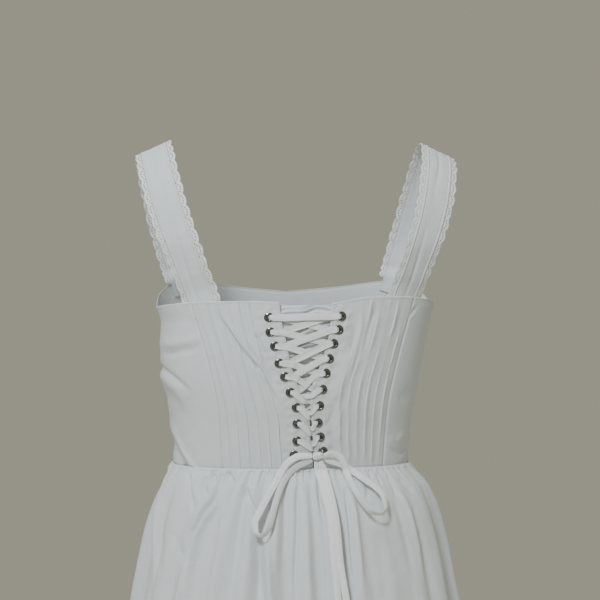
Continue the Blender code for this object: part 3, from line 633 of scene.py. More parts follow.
def weave_height(finish, pitch):
    """Threads over and under each other, pitch metres apart."""
    along, across = finish.measured()
    turns = math.tau / pitch
    return (along * turns).sine() * (across * turns).sine() * 0.5 + 0.5


def cotton(name, look):
    """Plain-woven cotton: fine threads, slubs, soft crumples and a slightly uneven white."""
    finish = Finish(name, Roughness=0.85, Sheen_Weight=0.05, Sheen_Roughness=0.5, Specular_IOR_Level=0.25)
    crumple = finish.noise(75, 4)
    slub = finish.noise(900, 2)
    finish.colour(crumple * 0.7 + slub * 0.3, 0.96, look.cotton)
    finish.bump(crumple * 0.86 + slub * 0.06 + weave_height(finish, THREAD_PITCH) * 0.08, 0.0016, 0.7)
    return finish.material


def lace(name, look):
    """Cotton lace: a band of small holes, a row of petals in each scallop and a corded edge."""
    finish = Finish(name, Roughness=0.85, Sheen_Weight=0.3, Specular_IOR_Level=0.25)
    lobe, share = finish.measured("scallop")
    small = (lobe * 6).fraction() - 0.5
    row_hole = ((small * 2.1) * (small * 2.1) + ((share - 0.2) * 7.5) * ((share - 0.2) * 7.5)).root()
    centre = lobe.fraction() - 0.5
    petal = (centre * 5).fraction() - 0.5
    rise = share - (0.66 - centre * centre * 1.6)
    petal_hole = ((petal * 2.3) * (petal * 2.3) + (rise * 6.5) * (rise * 6.5)).root()
    solid = row_hole.smaller(petal_hole)
    finish.feed("Alpha", solid.above(0.62))
    threads = finish.noise(1400, 2)
    finish.bump(solid.smaller(1.4) * 0.6 + threads * 0.4, 0.0006, 0.8)
    finish.colour(threads, 0.93, look.lace)
    return finish.material


def tape(name, look):
    """Ribbon: fine cross ribs, with a soft shine."""
    finish = Finish(name, Roughness=0.5, Sheen_Weight=0.3, Specular_IOR_Level=0.4)
    along = finish.measured()[1]
    ribs = (along * (math.tau / RIB_PITCH)).sine() * 0.5 + 0.5
    drift = finish.noise(160, 3)
    finish.bump(ribs * 0.25 + drift * 0.6, 0.0005, 0.6)
    finish.colour(drift, 0.95, look.ribbon)
    return finish.material


def nickel(name, look):
    """Nickel plate with faint brushing and small dull spots."""
    finish = Finish(name, Metallic=1.0)
    spots = finish.noise(900, 3)
    finish.feed("Roughness", spots * 0.2 + 0.08)
    # The base colour is painted shade: far darker than bare nickel, it stands for the dark reflections of a
    # dim room. The spots vary it by up to a quarter.
    finish.colour(spots, 0.75, look.nickel)
    finish.bump(spots, 0.0001, 0.3)
    return finish.material


def thread(name, look):
    """White sewing thread, twisted."""
    finish = Finish(name, Roughness=0.6, Sheen_Weight=0.2)
    twist = finish.noise(2500, 1)
    finish.colour(twist, 0.9, look.cotton)
    finish.bump(twist, 0.0002, 0.5)
    return finish.material


def cotton_piece(mesh, node, extra=0.0):
    """A piece of cotton with its thickness, in place of its CAD node."""
    piece = finished(mesh, made_once("cotton", cotton), [node])
    return thicken(piece, bpy.context.scene.dress_sizes.cloth + extra)


def seam_dip(away, wide=1.3, deep=0.75):
    """How far cloth turns in towards a seam, away millimetres from it."""
    return -deep * bell(np.abs(away), wide)


def turned_edge(away):
    """How far a turned and pressed edge stands up, away millimetres from it."""
    return 0.5 * bell(away - 1.2, 0.75) - 0.3 * bell(away, 0.5)


def upper_and_lower_edge(row, height):
    """The turned top edge of a bodice piece and its lower edge, which turns in under the gathers' roll."""
    return turned_edge(row * height) - 0.45 * bell((1 - row) * height, 1.2)


def edges_then_steps(low, high, step, near=(0, 0.35, 0.8, 1.4, 2.2)):
    """Columns from low to high, closer together by both edges."""
    near = np.array(near)
    inner = np.linspace(low + near[-1], high - near[-1], max(int((high - low) / step), 2))
    return np.concatenate((low + near[:-1], inner, (high - near[:-1])[::-1]))


def panel_rows(step):
    """Rows of a bodice piece from its top edge, 0, to the waist, 1."""
    return edges_then_steps(0, 1, step, (0, 0.003, 0.007, 0.012, 0.02))


def millimetres(label, words, default, low, high):
    words = f"{words}, in millimetres"
    return bpy.props.FloatProperty(name=label, description=words, default=default, min=low, max=high)


def colour_of(label, words, default):
    return bpy.props.FloatVectorProperty(
        name=label, description=words, default=default, subtype="COLOR", size=3, min=0, max=1)


class DressSizes(bpy.types.PropertyGroup):
    cloth: millimetres("Cloth", "Thickness of the cotton", 0.5, 0.2, 1.0)
    tuck: millimetres("Tuck height", "How far the pintucks stand up", 1.15, 0.3, 2.0)
    ribbon: millimetres("Ribbon width", "Width of the lacing ribbon", 7.5, 4, 9)
    ribbon_thickness: millimetres("Ribbon thickness", "Thickness of the ribbon", 0.35, 0.2, 0.6)
    lace_narrow: millimetres("Lace, narrow", "Width of the lace between two scallops", 5.3, 3, 8)
    lace_wide: millimetres("Lace, wide", "Width of the lace at a scallop", 7.0, 4, 10)
    stitch: millimetres("Stitch", "Length of one topstitch and its gap", 2.8, 1.5, 5)


class DressColours(bpy.types.PropertyGroup):
    cotton: colour_of("Cotton", "Colour of the cotton", (0.70, 0.743, 0.768))
    lace: colour_of("Lace", "Colour of the lace", (0.77, 0.8, 0.805))
    ribbon: colour_of("Ribbon", "Colour of the ribbon", (0.85, 0.88, 0.895))
    # The eyelets' default colour is far darker than bare nickel: painted shade that stands for the dark
    # reflections of a dim room.
    nickel: colour_of("Nickel", "Colour of the eyelets", (0.24, 0.245, 0.25))
    floor: colour_of("Floor", "Colour of the floor", (0.72, 0.71, 0.68))
    wall: colour_of("Wall", "Colour of the surroundings", (0.46, 0.45, 0.35))


class DRESS_OT_bodice_front(bpy.types.Operator):
    """Make the front of the bodice, with two waist darts and soft creases"""

    bl_idname = "dress.bodice_front"
    bl_label = "Bodice front"

    def execute(self, context):
        def point(column, row):
            angle = -SIDE_SEAM - column
            z = between(top_edge(angle), WAIST, row)
            side = np.abs(column - FRONT_SPREAD / 2)
            dart = smooth(*DART_RISE, z) * bell(side - DART_FROM_MIDDLE, 0.55)
            pull = np.sin(side / 3.1 + z / 11) * bell(side - 55, 16) * bell(z + 250, 22)
            edge = np.minimum(column, FRONT_SPREAD - column) * 2.3
            x = bodice_wall(angle, z)[..., 0]
            out = WALL + 0.35 * ripple(2.2 * column, z, 1.4)
            out = out + crease_height(x, z, SIDE_CREASES) * smooth(34, 0, edge)
            out = out - 0.8 * dart + 0.45 * pull + seam_dip(edge) + upper_and_lower_edge(row, 180)
            return bodice_point(angle, z, out)

        columns = edges_then_steps(0, FRONT_SPREAD, 0.9, (0, 0.15, 0.35, 0.6, 1.0))
        mesh = woven_mesh("bodice_front_cloth", columns, panel_rows(0.012), point)
        piece = cotton_piece(mesh, "bodice_front")
        return {"FINISHED"}


class DRESS_OT_side_backs(bpy.types.Operator):
    """Make the plain panels between the curved back seams and the side seams"""

    bl_idname = "dress.side_backs"
    bl_label = "Side back panels"

    def execute(self, context):
        for side, word in SIDES:
            self.make_panel(side, word)
        return {"FINISHED"}

    def make_panel(self, side, word):
        rim_start = back_angle(side * BACK_SEAM[1].x, BACK_SEAM[1].z)

        def point(column, row):
            share = column / SIDE_BACK_WIDTH
            z = between(top_edge(between(rim_start, side * SIDE_SEAM, share)), WAIST, row)
            seam = back_angle(side * (read(BACK_SEAM, "x", z) + 0.05), z)
            angle = between(seam, side * (SIDE_SEAM - 0.02), share)
            x = bodice_wall(angle, z)[..., 0]
            out = WALL + 0.3 * ripple(column * 1.3, z, 2.2 + side) + crease_height(x, z, SIDE_CREASES)
            out = out + seam_dip(column, 1.2, 0.85) + seam_dip(SIDE_BACK_WIDTH - column)
            return bodice_point(angle, z, out + upper_and_lower_edge(row, 170))

        columns = edges_then_steps(0, SIDE_BACK_WIDTH, 0.9)
        mesh = woven_mesh(f"side_back_{word}_cloth", columns, panel_rows(0.009), point, flip=side > 0)
        piece = cotton_piece(mesh, f"side_back_{word}")


def tuck_height(column, z, stretch, side, height):
    """The pintucks: even and crisp on the left, sharper in places and nearly flat in others on the right."""
    proud = smooth(-225, -262, z) * smooth(-331, -312, z)
    total = 0
    for n, place in enumerate(TUCK_PLACES):
        away = (column - place * PANEL_WIDTH) * stretch
        depth = height * (0.85 + 0.3 * np.sin(z / 26 + 2.2 * n) + 0.12 * np.sin(z / 7 + n))
        if side < 0:
            broken = np.maximum(proud, 0.9 * smooth(-0.2, 0.8, np.sin(z / 12 + 2.6 * n)))
            broken = broken * smooth(-334, -320, z) * smooth(-159, -166, z)
            depth = depth * (0.08 + 1.15 * broken)
            away = np.where(away > 0.4, 0.4 + 0.5 * (away - 0.4), away)
        profile = np.interp(away, [p.away for p in TUCK_PROFILE], [p.height for p in TUCK_PROFILE])
        total = total + depth * (profile if side > 0 else np.maximum(profile, 0))
    return total


def flat_by_eyelets(out, x, z, side):
    """The cloth's height, drawn flat under each ring and into small pulls round it."""
    for row in range(len(EYELETS)):
        ex, ez = eyelet_centre(side, row)
        from_ring = np.hypot(x - ex, z - ez)
        flat = bell(np.maximum(from_ring - RING_OUTER - 0.2, 0), 2.5)
        pulled = 0.5 * bell(from_ring - 9, 3) * np.sin(5 * np.arctan2(z - ez, x - ex) + row)
        out = between(out, WALL, flat) + pulled * (1 - flat)
    return out


class DRESS_OT_back_panels(bpy.types.Operator):
    """Make the two back panels: pintucks, drag creases from the lacing and eyelet holes"""

    bl_idname = "dress.back_panels"
    bl_label = "Back panels"

    def execute(self, context):
        for side, word in SIDES:
            self.make_panel(side, word, context.scene.dress_sizes.tuck)
        return {"FINISHED"}

    def make_panel(self, side, word, tuck):
        rim_z = top_edge(0)

        def x_at(share, z):
            return between(placket_x(side, z), side * (read(BACK_SEAM, "x", z) - 0.05), share)

        def point(column, row):
            start = x_at(np.clip(column / PANEL_WIDTH, 0, 1), rim_z)
            z = between(top_edge(back_angle(start, rim_z)), WAIST, row)
            stretch = np.abs(x_at(1, z) - x_at(0, z)) * 1.06 / PANEL_WIDTH
            x = x_at(column / PANEL_WIDTH, z)
            out = WALL + 0.22 * ripple(column, z, 3.1 + side)
            out = out + crease_height(x, z, BACK_CREASES)
            first = (column - TUCK_PLACES[0] * PANEL_WIDTH) * stretch
            standing = smooth(-4, 6, first) * smooth(PANEL_WIDTH, 82, column) * (0.12 if side < 0 else 0.2)
            turns = np.interp(column / PANEL_WIDTH, TUCK_PLACES, np.arange(len(TUCK_PLACES)))
            out = out + 0.55 * standing * (np.cos(math.tau * (turns - 0.08)) - 0.3)
            out = out + tuck_height(column, z, stretch, side, tuck)
            out = out + seam_dip(column, 0.9, 0.4) + seam_dip(PANEL_WIDTH - column, 1.2, 0.85)
            out = out + upper_and_lower_edge(row, 170)
            return back_point(x, z, flat_by_eyelets(out, x, z, side))

        columns = set(np.round(edges_then_steps(0, PANEL_WIDTH, 1.1, (0, 0.4, 0.9, 1.5, 2.2)), 3))
        for place in TUCK_PLACES:
            columns = {c for c in columns if not -1.1 < c - place * PANEL_WIDTH < 3.4}
            columns |= {round(place * PANEL_WIDTH + p.away, 3) for p in TUCK_PROFILE}
        name = f"back_panel_{word}_cloth"
        mesh = woven_mesh(name, sorted(columns), panel_rows(0.0062), point, flip=side > 0)
        cut_holes(mesh, side)
        piece = cotton_piece(mesh, f"back_panel_{word}")


def cut_holes(mesh, side):
    """Deletes the cloth inside each eyelet's hole, which the ring's flange covers."""
    sheet = bmesh.new()
    sheet.from_mesh(mesh)
    gone = set()
    for row in range(len(EYELETS)):
        centre = Vector(back_point(*eyelet_centre(side, row))) * MM
        gone |= {v for v in sheet.verts if (v.co - centre).length < HOLE_RADIUS * MM}
    bmesh.ops.delete(sheet, geom=list(gone), context="VERTS")
    sheet.to_mesh(mesh)
    sheet.free()


class DRESS_OT_eyelets(bpy.types.Operator):
    """Turn the twenty metal rings"""

    bl_idname = "dress.eyelets"
    bl_label = "Eyelets"

    def execute(self, context):
        rings = bmesh.new()
        for side, _ in SIDES:
            for row in range(len(EYELETS)):
                self.turn_ring(rings, *eyelet_centre(side, row))
        bmesh.ops.remove_doubles(rings, verts=rings.verts, dist=1e-6)
        bmesh.ops.recalc_face_normals(rings, faces=rings.faces)
        nodes = [f"eyelet_{word}_{n + 1:02d}" for _, word in SIDES for n in range(len(EYELETS))]
        finished(mesh_from(rings, "eyelet_rings"), made_once("nickel_plate", nickel), nodes)
        return {"FINISHED"}

    def turn_ring(self, rings, x, z):
        before = set(rings.verts)
        verts = [rings.verts.new(Vector((radius, 0, height)) * MM) for radius, height in RING_OUTLINE]
        edges = [rings.edges.new((verts[n - 1], verts[n])) for n in range(len(verts))]
        bmesh.ops.spin(rings, geom=verts + edges, cent=(0, 0, 0), axis=(0, 0, 1), angle=math.tau, steps=36,
                       use_merge=True)
        foot, tip = Vector(back_point(x, z)), Vector(back_point(x, z, 1.0))
        place = Matrix.Translation(foot * MM) @ (tip - foot).to_track_quat("Z", "Y").to_matrix().to_4x4()
        bmesh.ops.transform(rings, matrix=place, verts=[v for v in rings.verts if v not in before])


class DRESS_OT_modesty_panel(bpy.types.Operator):
    """Make the panel behind the lacing, drawn into cross folds"""

    bl_idname = "dress.modesty_panel"
    bl_label = "Modesty panel"

    def execute(self, context):
        def point(column, row):
            z = between(MODESTY_TOP, MODESTY_BOTTOM, row)
            loose = smooth(MODESTY_HALF_WIDTH - 4, MODESTY_HALF_WIDTH - 14, np.abs(column))
            slant = z + 0.1 * column + 1.6 * np.sin(column / 9) + 1.1 * np.sin(column / 4.3 + z / 15)
            wave = np.sin(slant / 0.95 + 1.6 * np.sin(z / 9)) * (0.7 + 0.3 * np.sin(column / 7 + z / 5))
            wave = wave + 0.8 * np.sin(slant / 2.1 + column / 17)
            return back_point(column, z, -SEAM_GAP - 0.05 - loose * (2.3 - 0.95 * wave))

        columns = np.linspace(MODESTY_HALF_WIDTH, -MODESTY_HALF_WIDTH, 66)
        mesh = woven_mesh("modesty_panel_cloth", columns, np.linspace(0, 1, 190), point)
        piece = cotton_piece(mesh, "modesty_panel")
        return {"FINISHED"}


@lru_cache(maxsize=None)
def all_folds():
    """The folds' angles and heights right round, with one more at each end."""
    ridges = list(BACK_FOLDS)
    for n in range(FRONT_FOLDS):
        place = between(90, 270, (n + 0.5) / FRONT_FOLDS) + 3 * math.sin(2.3 * n)
        ridges.append(Fold(place, 0.9 + 0.2 * math.sin(1.9 * n + 1)))
    ridges.sort()
    last, first = ridges[-1], ridges[0]
    return np.array([(last.angle - 360, last.height), *ridges, (first.angle + 360, first.height)]).T


def fold_wave(angle, z):
    """From 1 on a fold's ridge to -1 half way on, times its height. Folds wander and lean a little."""
    angles, heights = all_folds()
    angle = angle + 0.9 * np.sin(z / 47 + angle / 19) * smooth(-380, -470, z)
    angle = (angle - angles[0]) % 360 + angles[0]
    count = np.interp(angle, angles, np.arange(len(angles)))
    phase = math.tau * count
    lean = 0.55 * np.sin(1.9 * count + 0.6)
    wave = np.cos(phase + lean * np.sin(phase)) + 0.1 * np.cos(2 * phase + 0.6)
    return np.interp(angle, angles, heights) * wave


def calm_places(angle, start):
    """Near 1 where the skirt hangs nearly without gathers: its left flank, a strip and the back's right."""
    flank = smooth(56, 66, angle) * smooth(110, 98, angle)
    strip = 0.85 * bell(angle + 36, 13)
    right = 0.92 * smooth(-46, -58, angle) * (start == 0)
    return np.maximum(np.maximum(flank, strip), right)


def gather_height(angle, z, start):
    """The gathers below the waist seam, the small uneven puckers between them and a few that run on."""
    numbers = np.arange(GATHERS)
    widths = 1 + 0.34 * np.sin(1.7 * numbers + start) + 0.2 * np.sin(4.1 * numbers + 1)
    edges = np.concatenate(([0], widths.cumsum())) / widths.sum()
    share = (start + SIDE_SEAM - angle) / 180
    count = np.interp(share, edges, np.arange(GATHERS + 1))
    number = np.clip(count.astype(int), 0, GATHERS - 1)
    phase = math.tau * count
    calm = calm_places(angle, start)
    uneven = 0.62 + 0.55 * np.sin(1.13 * count + 0.8) * np.sin(0.37 * count + 0.4)
    uneven = uneven * (1 - 0.8 * calm * smooth(-335, -342, z))
    main = -np.cos(phase) * read(SWELL, "gather", z) * widths[number] * uneven
    around = share * HALF_WAIST
    pucker = np.sin(around * math.tau / 4.1 + 2.4 * np.sin(around / 17))
    pucker = pucker * (0.6 + 0.4 * np.sin(around / 9.3 + 1))
    pucker = pucker + 0.9 * np.sin(around * math.tau / 7.3 + 2.2 * np.sin(around / 24 + 2))
    length = 8 + 5 * np.sin(around / 11 + 0.7) * np.sin(around / 4.7)
    near_seam = bell(np.maximum(SKIRT_TOP - z, 0), length) * (1 - 0.6 * calm)
    long_wave = np.sin(phase * 0.5 + 2.4 * np.sin(0.6 * count) + z / 60)
    running_on = 1.1 * smooth(SKIRT_TOP, -352, z) * np.exp(-np.maximum(-360 - z, 0) / 85) * (1 - 0.8 * calm)
    return 0.8 * main + 1.5 * pucker * near_seam + long_wave * running_on


def sharp_turn(angle, z):
    """The edge at the back's left where the cloth turns sharply inwards and slowly comes out again."""
    past = angle - read(LIT_EDGE, "angle", z)
    turned = -10.5 * smooth(0.1, 2.3, past) * (1 - smooth(9, 26, past)) + 2.4 * bell(past + 0.5, 1.3)
    return turned * smooth(-340, -352, z) * (1 - 0.7 * smooth(-470, -620, z))


def skirt_point(angle, z, start):
    """A point of the skirt's outer face. The gathers start flat in the seam and roll out just below it."""
    below = WAIST - z
    rolled = 0.75 * bell(below - 1.5, 0.95) - 0.5 * smooth(WAIST - 0.5, WAIST + 0.4, z)
    out = gather_height(angle, z, start) * (1 - 0.92 * bell(np.maximum(below, 0), 1.3)) + rolled
    reach = form_reach(SKIRT, angle, z) + out + fold_wave(angle, z) * read(SWELL, "fold", z)
    x = polar(angle, reach, z)[..., 0]
    soft = 0.6 * ripple(angle * 2.6, z, 0.7 + start) * smooth(-340, -370, z)
    across, strength = (x, 1) if start == 0 else (0.93 * x + 11, 0.55)
    creases = strength * crease_height(across, z, SKIRT_CREASES)
    return polar(angle, reach + soft + creases + sharp_turn(angle, z), z)


class DRESS_OT_skirt(bpy.types.Operator):
    """Make both halves of the skirt, gathered at the waist and falling in soft folds"""

    bl_idname = "dress.skirt"
    bl_label = "Skirt"

    def execute(self, context):
        self.make_half(0, "back", 420, "back_panel_left")
        self.make_half(FRONT, "front", 330, "bodice_front")
        return {"FINISHED"}

    def make_half(self, start, word, count, neighbour):
        def point(column, row):
            hem_fold = 0.5 * smooth(HEM + HEM_TURN, HEM + HEM_TURN - 1, row) + 0.3 * smooth(HEM + 2, HEM, row)
            return skirt_point(column, row, start) + polar(column, 1.0, row * 0) * hem_fold[..., None]

        rows = np.concatenate((SEAM_ROWS, *(np.linspace(*span) for span in SKIRT_ROWS)))
        columns = np.linspace(start + SIDE_SEAM - 0.02, start - SIDE_SEAM + 0.02, count)
        piece = cotton_piece(woven_mesh(f"skirt_{word}_cloth", columns, rows, point), f"skirt_{word}")


def strap_middle(step):
    tables = ((STRAP, "x"), (FREE_ROWS, "y"), (STRAP, "z"))
    return np.stack([read(table, column, step, "step") for table, column in tables], axis=-1)


def strap_frame(step):
    """The directions along a strap, across it and out of it, and its turn."""
    ahead, behind = np.minimum(step + 0.05, STRAP[-1].step), np.maximum(step - 0.05, 0)
    run = unit(strap_middle(ahead) - strap_middle(behind))
    turn, lean = (np.radians(read(STRAP, column, step, "step")) for column in ("turn", "lean"))
    across = np.stack((np.cos(turn) * np.cos(lean), -np.sin(turn) * np.cos(lean), -np.sin(lean)), axis=-1)
    across = unit(across - run * (across * run).sum(axis=-1, keepdims=True))
    return run, across, np.cross(run, across), turn


def strap_point(step, aside, side, out):
    """A point of a strap's underside, aside from its middle and out of it. Its ends lie inside the bodice."""
    step, aside, out = np.broadcast_arrays(step, aside, np.asarray(out, float))
    run, across, away, turn = strap_frame(step)
    middle = strap_middle(step)
    free = (middle + across * aside[..., None] + away * out[..., None]) * (side, 1, 1)
    flat = unit(run[..., [0, 2]])
    x = middle[..., 0] + aside * np.abs(flat[..., 1]) * np.cos(turn)
    z = middle[..., 2] - aside * np.abs(flat[..., 0])
    deep = np.where(step > STRAP[-1].step / 2, -read(BODICE, "front", z), read(BODICE, "back", z))
    y = deep * depth_share(x, read(BODICE, "left" if side > 0 else "right", z))
    inside = bodice_point(np.degrees(np.arctan2(side * x, y)), z, STRAP_INSIDE + out)
    clear = np.minimum(step - FREE_ROWS[0].step, FREE_ROWS[-1].step - step)
    return between(free, inside, smooth(0, 1, np.clip(-clear, 0, 1))[..., None])


class DRESS_OT_straps(bpy.types.Operator):
    """Make the two straps, with a soft crease along each"""

    bl_idname = "dress.straps"
    bl_label = "Straps"

    def execute(self, context):
        half = STRAP_WIDTH / 2
        for side, word in SIDES:
            def point(column, row):
                crease = bell(column - 2 * side - 2 * np.sin(row * 1.1), 2.2) * np.sin(row * 0.7) ** 2
                edge = half - np.abs(column)
                rolled = 0.6 * bell(edge - 1.1, 0.8) - 0.35 * bell(edge, 0.5)
                groove = -0.22 * bell(edge - 2.9, 0.45)
                soft = 0.25 * ripple(column * 2, row * 26, 1.1 + side)
                return strap_point(row, column, side, WALL + rolled + groove + soft - crease)

            columns = edges_then_steps(-half, half, 1.0, (0, 0.4, 0.8, 1.2, 1.8, 2.5, 2.9, 3.4))
            rows = np.linspace(0, STRAP[-1].step, 230)
            mesh = woven_mesh(f"strap_{word}_cloth", columns, rows, point, flip=side > 0)
            cotton_piece(mesh, f"strap_{word}", extra=0.2)
        return {"FINISHED"}


class DRESS_OT_strap_lace(bpy.types.Operator):
    """Make the four scalloped lace strips, lapped over the straps' edges"""

    bl_idname = "dress.strap_lace"
    bl_label = "Strap lace"

    def execute(self, context):
        for side, word in SIDES:
            trims = [self.make_trim(context.scene.dress_sizes, side, word, edge, place)
                     for edge, place in ((-1, "inner"), (1, "outer"))]
        return {"FINISHED"}

    def make_trim(self, sizes, side, word, edge, place):
        columns = np.linspace(0, 1, 11)
        rows = np.linspace(LACE_FROM - SCALLOP, LACE_TO, ROWS_A_SCALLOP * SCALLOPS + 1)

        def point(column, row):
            lobe = (row - LACE_FROM) / SCALLOP
            bow = 1 - np.abs(2 * (lobe % 1) - 1) ** 2.4
            width = between(sizes.lace_narrow, sizes.lace_wide, bow)
            width = width * (1 + 0.05 * np.sin(2.3 * lobe + side + edge))
            aside = edge * (STRAP_WIDTH / 2 - LACE_LAP + column * (width + LACE_LAP))
            ruffle = 0.55 * column * np.sin(math.tau * lobe + 1.3 * np.sin(1.9 * lobe))
            return strap_point(row, aside, side, 1.1 + 0.35 * (1 - column) + ruffle)

        mesh = woven_mesh(f"strap_lace_{word}_{place}_trim", columns, rows, point, flip=side * edge > 0)
        self.add_scallop_map(mesh, columns, rows)
        nodes = [f"strap_lace_{word}_{place}"]
        return thicken(finished(mesh, made_once("cotton lace", lace), nodes), 0.3)

    def add_scallop_map(self, mesh, columns, rows):
        """A second UV map: scallops along the strip, and the share of its width across it."""
        places = np.arange(len(mesh.vertices))
        row, column = len(rows) - 1 - places // len(columns), places % len(columns)
        add_map(mesh, "scallop", (rows[row] - LACE_FROM) / SCALLOP, columns[column])
        mesh.uv_layers.active = mesh.uv_layers["cloth"]


Station = namedtuple("Station", "x z out width")


def up_through(x, z, toward, width):
    """Up through an eyelet, over its ring and on toward one side."""
    return [
        Station(x, z, 0.7, RIBBON_IN_HOLE),
        Station(x + 0.9 * toward, z, OVER_RING, RIBBON_IN_HOLE + 0.5),
        Station(x + 4.2 * toward, z, OVER_RING, width * 0.9),
    ]


def inside_to(x, z, toward, width):
    """Under the cloth to an eyelet from one side."""
    return [
        Station(x + 3.0 * toward, z, UNDER_CLOTH, width * 0.7),
        Station(x + 0.5 * toward, z, UNDER_CLOTH + 0.3, RIBBON_IN_HOLE),
    ]


def through_slit(side, z, over):
    """Down between the two placket edges where they nearly meet."""
    z += (RIBBON_IN_SLIT / 2 + 0.2) * (1 if over else -1)
    own, other = placket_x(side, z), placket_x(-side, z)
    reach = max(abs(own - other) / 2, 1.6)
    way = ((-reach - 0.6, OVER_RING - 0.4), (-reach * 0.4, OVER_CLOTH), (0, 0.55), (reach * 0.4, -0.6),
           (reach + 0.6, UNDER_CLOTH))
    return [Station((own + other) / 2 - side * step, z, out, RIBBON_IN_SLIT) for step, out in way]


def across_gap(start, end, over, full):
    """From one ring over its placket edge, across the open gap and under the other placket."""
    side = 1 if start[0] > end[0] else -1
    own = placket_x(side, between(start[1], end[1], 0.1))
    other = placket_x(-side, between(start[1], end[1], 0.9))
    half, centre = abs(own - other) / 2, (own + other) / 2
    clear = max(RING_OUTER + 1.6, abs(start[0] - own) - 2.2) - abs(start[0] - own)
    width = min(full * 0.92, half * 0.72)
    levels = (1.5, 0.95) if over else (0.0, -0.4)
    way = (
        (-1 + clear / half, OVER_CLOTH), (-1 + 3 / half, OVER_CLOTH), (-0.5, levels[0]), (0.5, levels[1]),
        (1 - 3 / half, UNDER_CLOTH), (1 + 2.6 / half, UNDER_CLOTH),
    )
    stations = []
    for share, out in way:
        z = between(start[1], end[1], min(max(0.5 + share / 2.2, 0), 1))
        stations.append(Station(centre - side * share * half, z, out, width))
    return stations


def behind_gap(start, end, over, full):
    """From the bar's ring to the next row, inside the dress."""
    level = 0.3 if over else UNDER_CLOTH
    stations = []
    for share, out in ((-0.5, UNDER_CLOTH), (-0.28, level), (0.28, level), (0.5, UNDER_CLOTH)):
        x, z = between(start[0], end[0], 0.5 + share / 2), between(start[1], end[1], 0.5 + share / 1.4)
        stations.append(Station(x, z, out, full * 0.9))
    return stations


def half_lacing(side, width):
    """One end of the ribbon, from the middle of the bar to its last eyelet."""
    start = eyelet_centre(side, 0)
    bar = [Station(start[0] - side * away, start[1], OVER_CLOTH + raised, width)
           for away, raised in ((20, 0), (8.5, 0.3))]
    stations = bar + up_through(*start, -side, width)[::-1] + inside_to(*start, -side, width)[::-1]
    for row in range(1, len(EYELETS)):
        end = eyelet_centre(-side, row)
        middle = sum(eyelet_centre(hand, at)[1] for hand in (1, -1) for at in (row - 1, row)) / 4
        if row == 1:
            stations += behind_gap(start, end, side < 0, width)
        elif placket_x(1, middle) - placket_x(-1, middle) < NARROW_GAP:
            stations += through_slit(side, middle, side < 0)
        else:
            stations += across_gap(start, end, side < 0, width)
        stations += inside_to(*end, side, width)
        if row < len(EYELETS) - 1:
            stations += up_through(*end, side, width)
        side, start = -side, end
    return stations + to_knot(side, *start, width)


def to_knot(side, x, z, width):
    """From the last eyelet to the knot: the right end goes under it at once, the left one runs across."""
    way = up_through(x, z, -side, width)
    if side < 0:
        return way[:-1] + [Station(x + 1.6, z - 0.4, OVER_RING + 0.3, RIBBON_IN_HOLE + 0.4)]
    ending = Station(KNOT_X + KNOT_SIZE[0] / 2 + 0.8, KNOT_Z, OVER_RING + 1.2, width * 0.7)
    return way + [Station(x - 10, z, OVER_RING + 0.2, width * 0.85), ending]


def softened(points, pieces, passes):
    """A finer line through the points with its corners rounded."""
    at = np.arange(len(points))
    fine = np.linspace(0, len(points) - 1, (len(points) - 1) * pieces + 1)
    line = np.stack([np.interp(fine, at, points[:, n]) for n in range(points.shape[1])], axis=1)
    for _ in range(passes):
        line[1:-1] = (line[:-2] + 2 * line[1:-1] + line[2:]) / 4
    return line


def ribbon_piece(node, centres, halves, curl):
    """A ribbon from its centres and half width vectors: curled, lightly crumpled and thickened both ways."""
    sizes = bpy.context.scene.dress_sizes
    away = unit(np.cross(np.gradient(centres, axis=0), halves))

    def point(column, row):
        centre, half, up = (values[row.astype(int)[:, 0]][:, None] for values in (centres, halves, away))
        crumple = 0.16 * np.sin(3.1 * column + 1.7 * np.sin(row / 23) + row / 41) * np.sin(row / 13 + 1) ** 2
        return centre + half * column[..., None] + up * (curl * (1 - column**2) + crumple)[..., None]

    mesh = woven_mesh(f"{node}_tape", RIBBON_COLUMNS, np.arange(len(centres)), point)
    piece = finished(mesh, made_once("ribbon tape", tape), [node])
    thicken(piece, sizes.ribbon_thickness, 0.0)
    tuple(centres[0] * MM)
    sizes.ribbon * MM
    [tuple(p) for p in centres[::4] * MM]


class DRESS_OT_lacing(bpy.types.Operator):
    """Thread the ribbon through the eyelets, from the bar at the top down to the knot"""

    bl_idname = "dress.lacing"
    bl_label = "Lacing ribbon"

    def execute(self, context):
        width = context.scene.dress_sizes.ribbon
        table = np.array(half_lacing(1, width)[::-1] + half_lacing(-1, width))
        run = np.gradient(table[:, :2], axis=0) * 2
        run[run[:, 0] < 0] *= -1
        lean = np.clip(np.arctan2(run[:, 1], run[:, 0]), -MOST_LEAN, MOST_LEAN)
        lean[np.linalg.norm(run, axis=1) < 2] = 0
        x, z, out, width, lean = softened(np.column_stack((table, lean)), 6, 6).T
        half = width / 2
        middle = back_point(x, z, out)
        tip = back_point(x - half * np.sin(lean), z + half * np.cos(lean), out)
        ribbon_piece("lacing_ribbon", middle, tip - middle, 0.25)
        return {"FINISHED"}


def draped_point(x, z, lift):
    """A point over the back's cloth: off the bodice above the waist and off the skirt below it."""
    share = np.clip((WAIST + 8 - z) / 16, 0, 1)
    y = between(back_y(BODICE, x, z) + WALL, back_y(SKIRT, x, z), share)
    return np.stack(np.broadcast_arrays(x, y + lift, z), axis=-1)


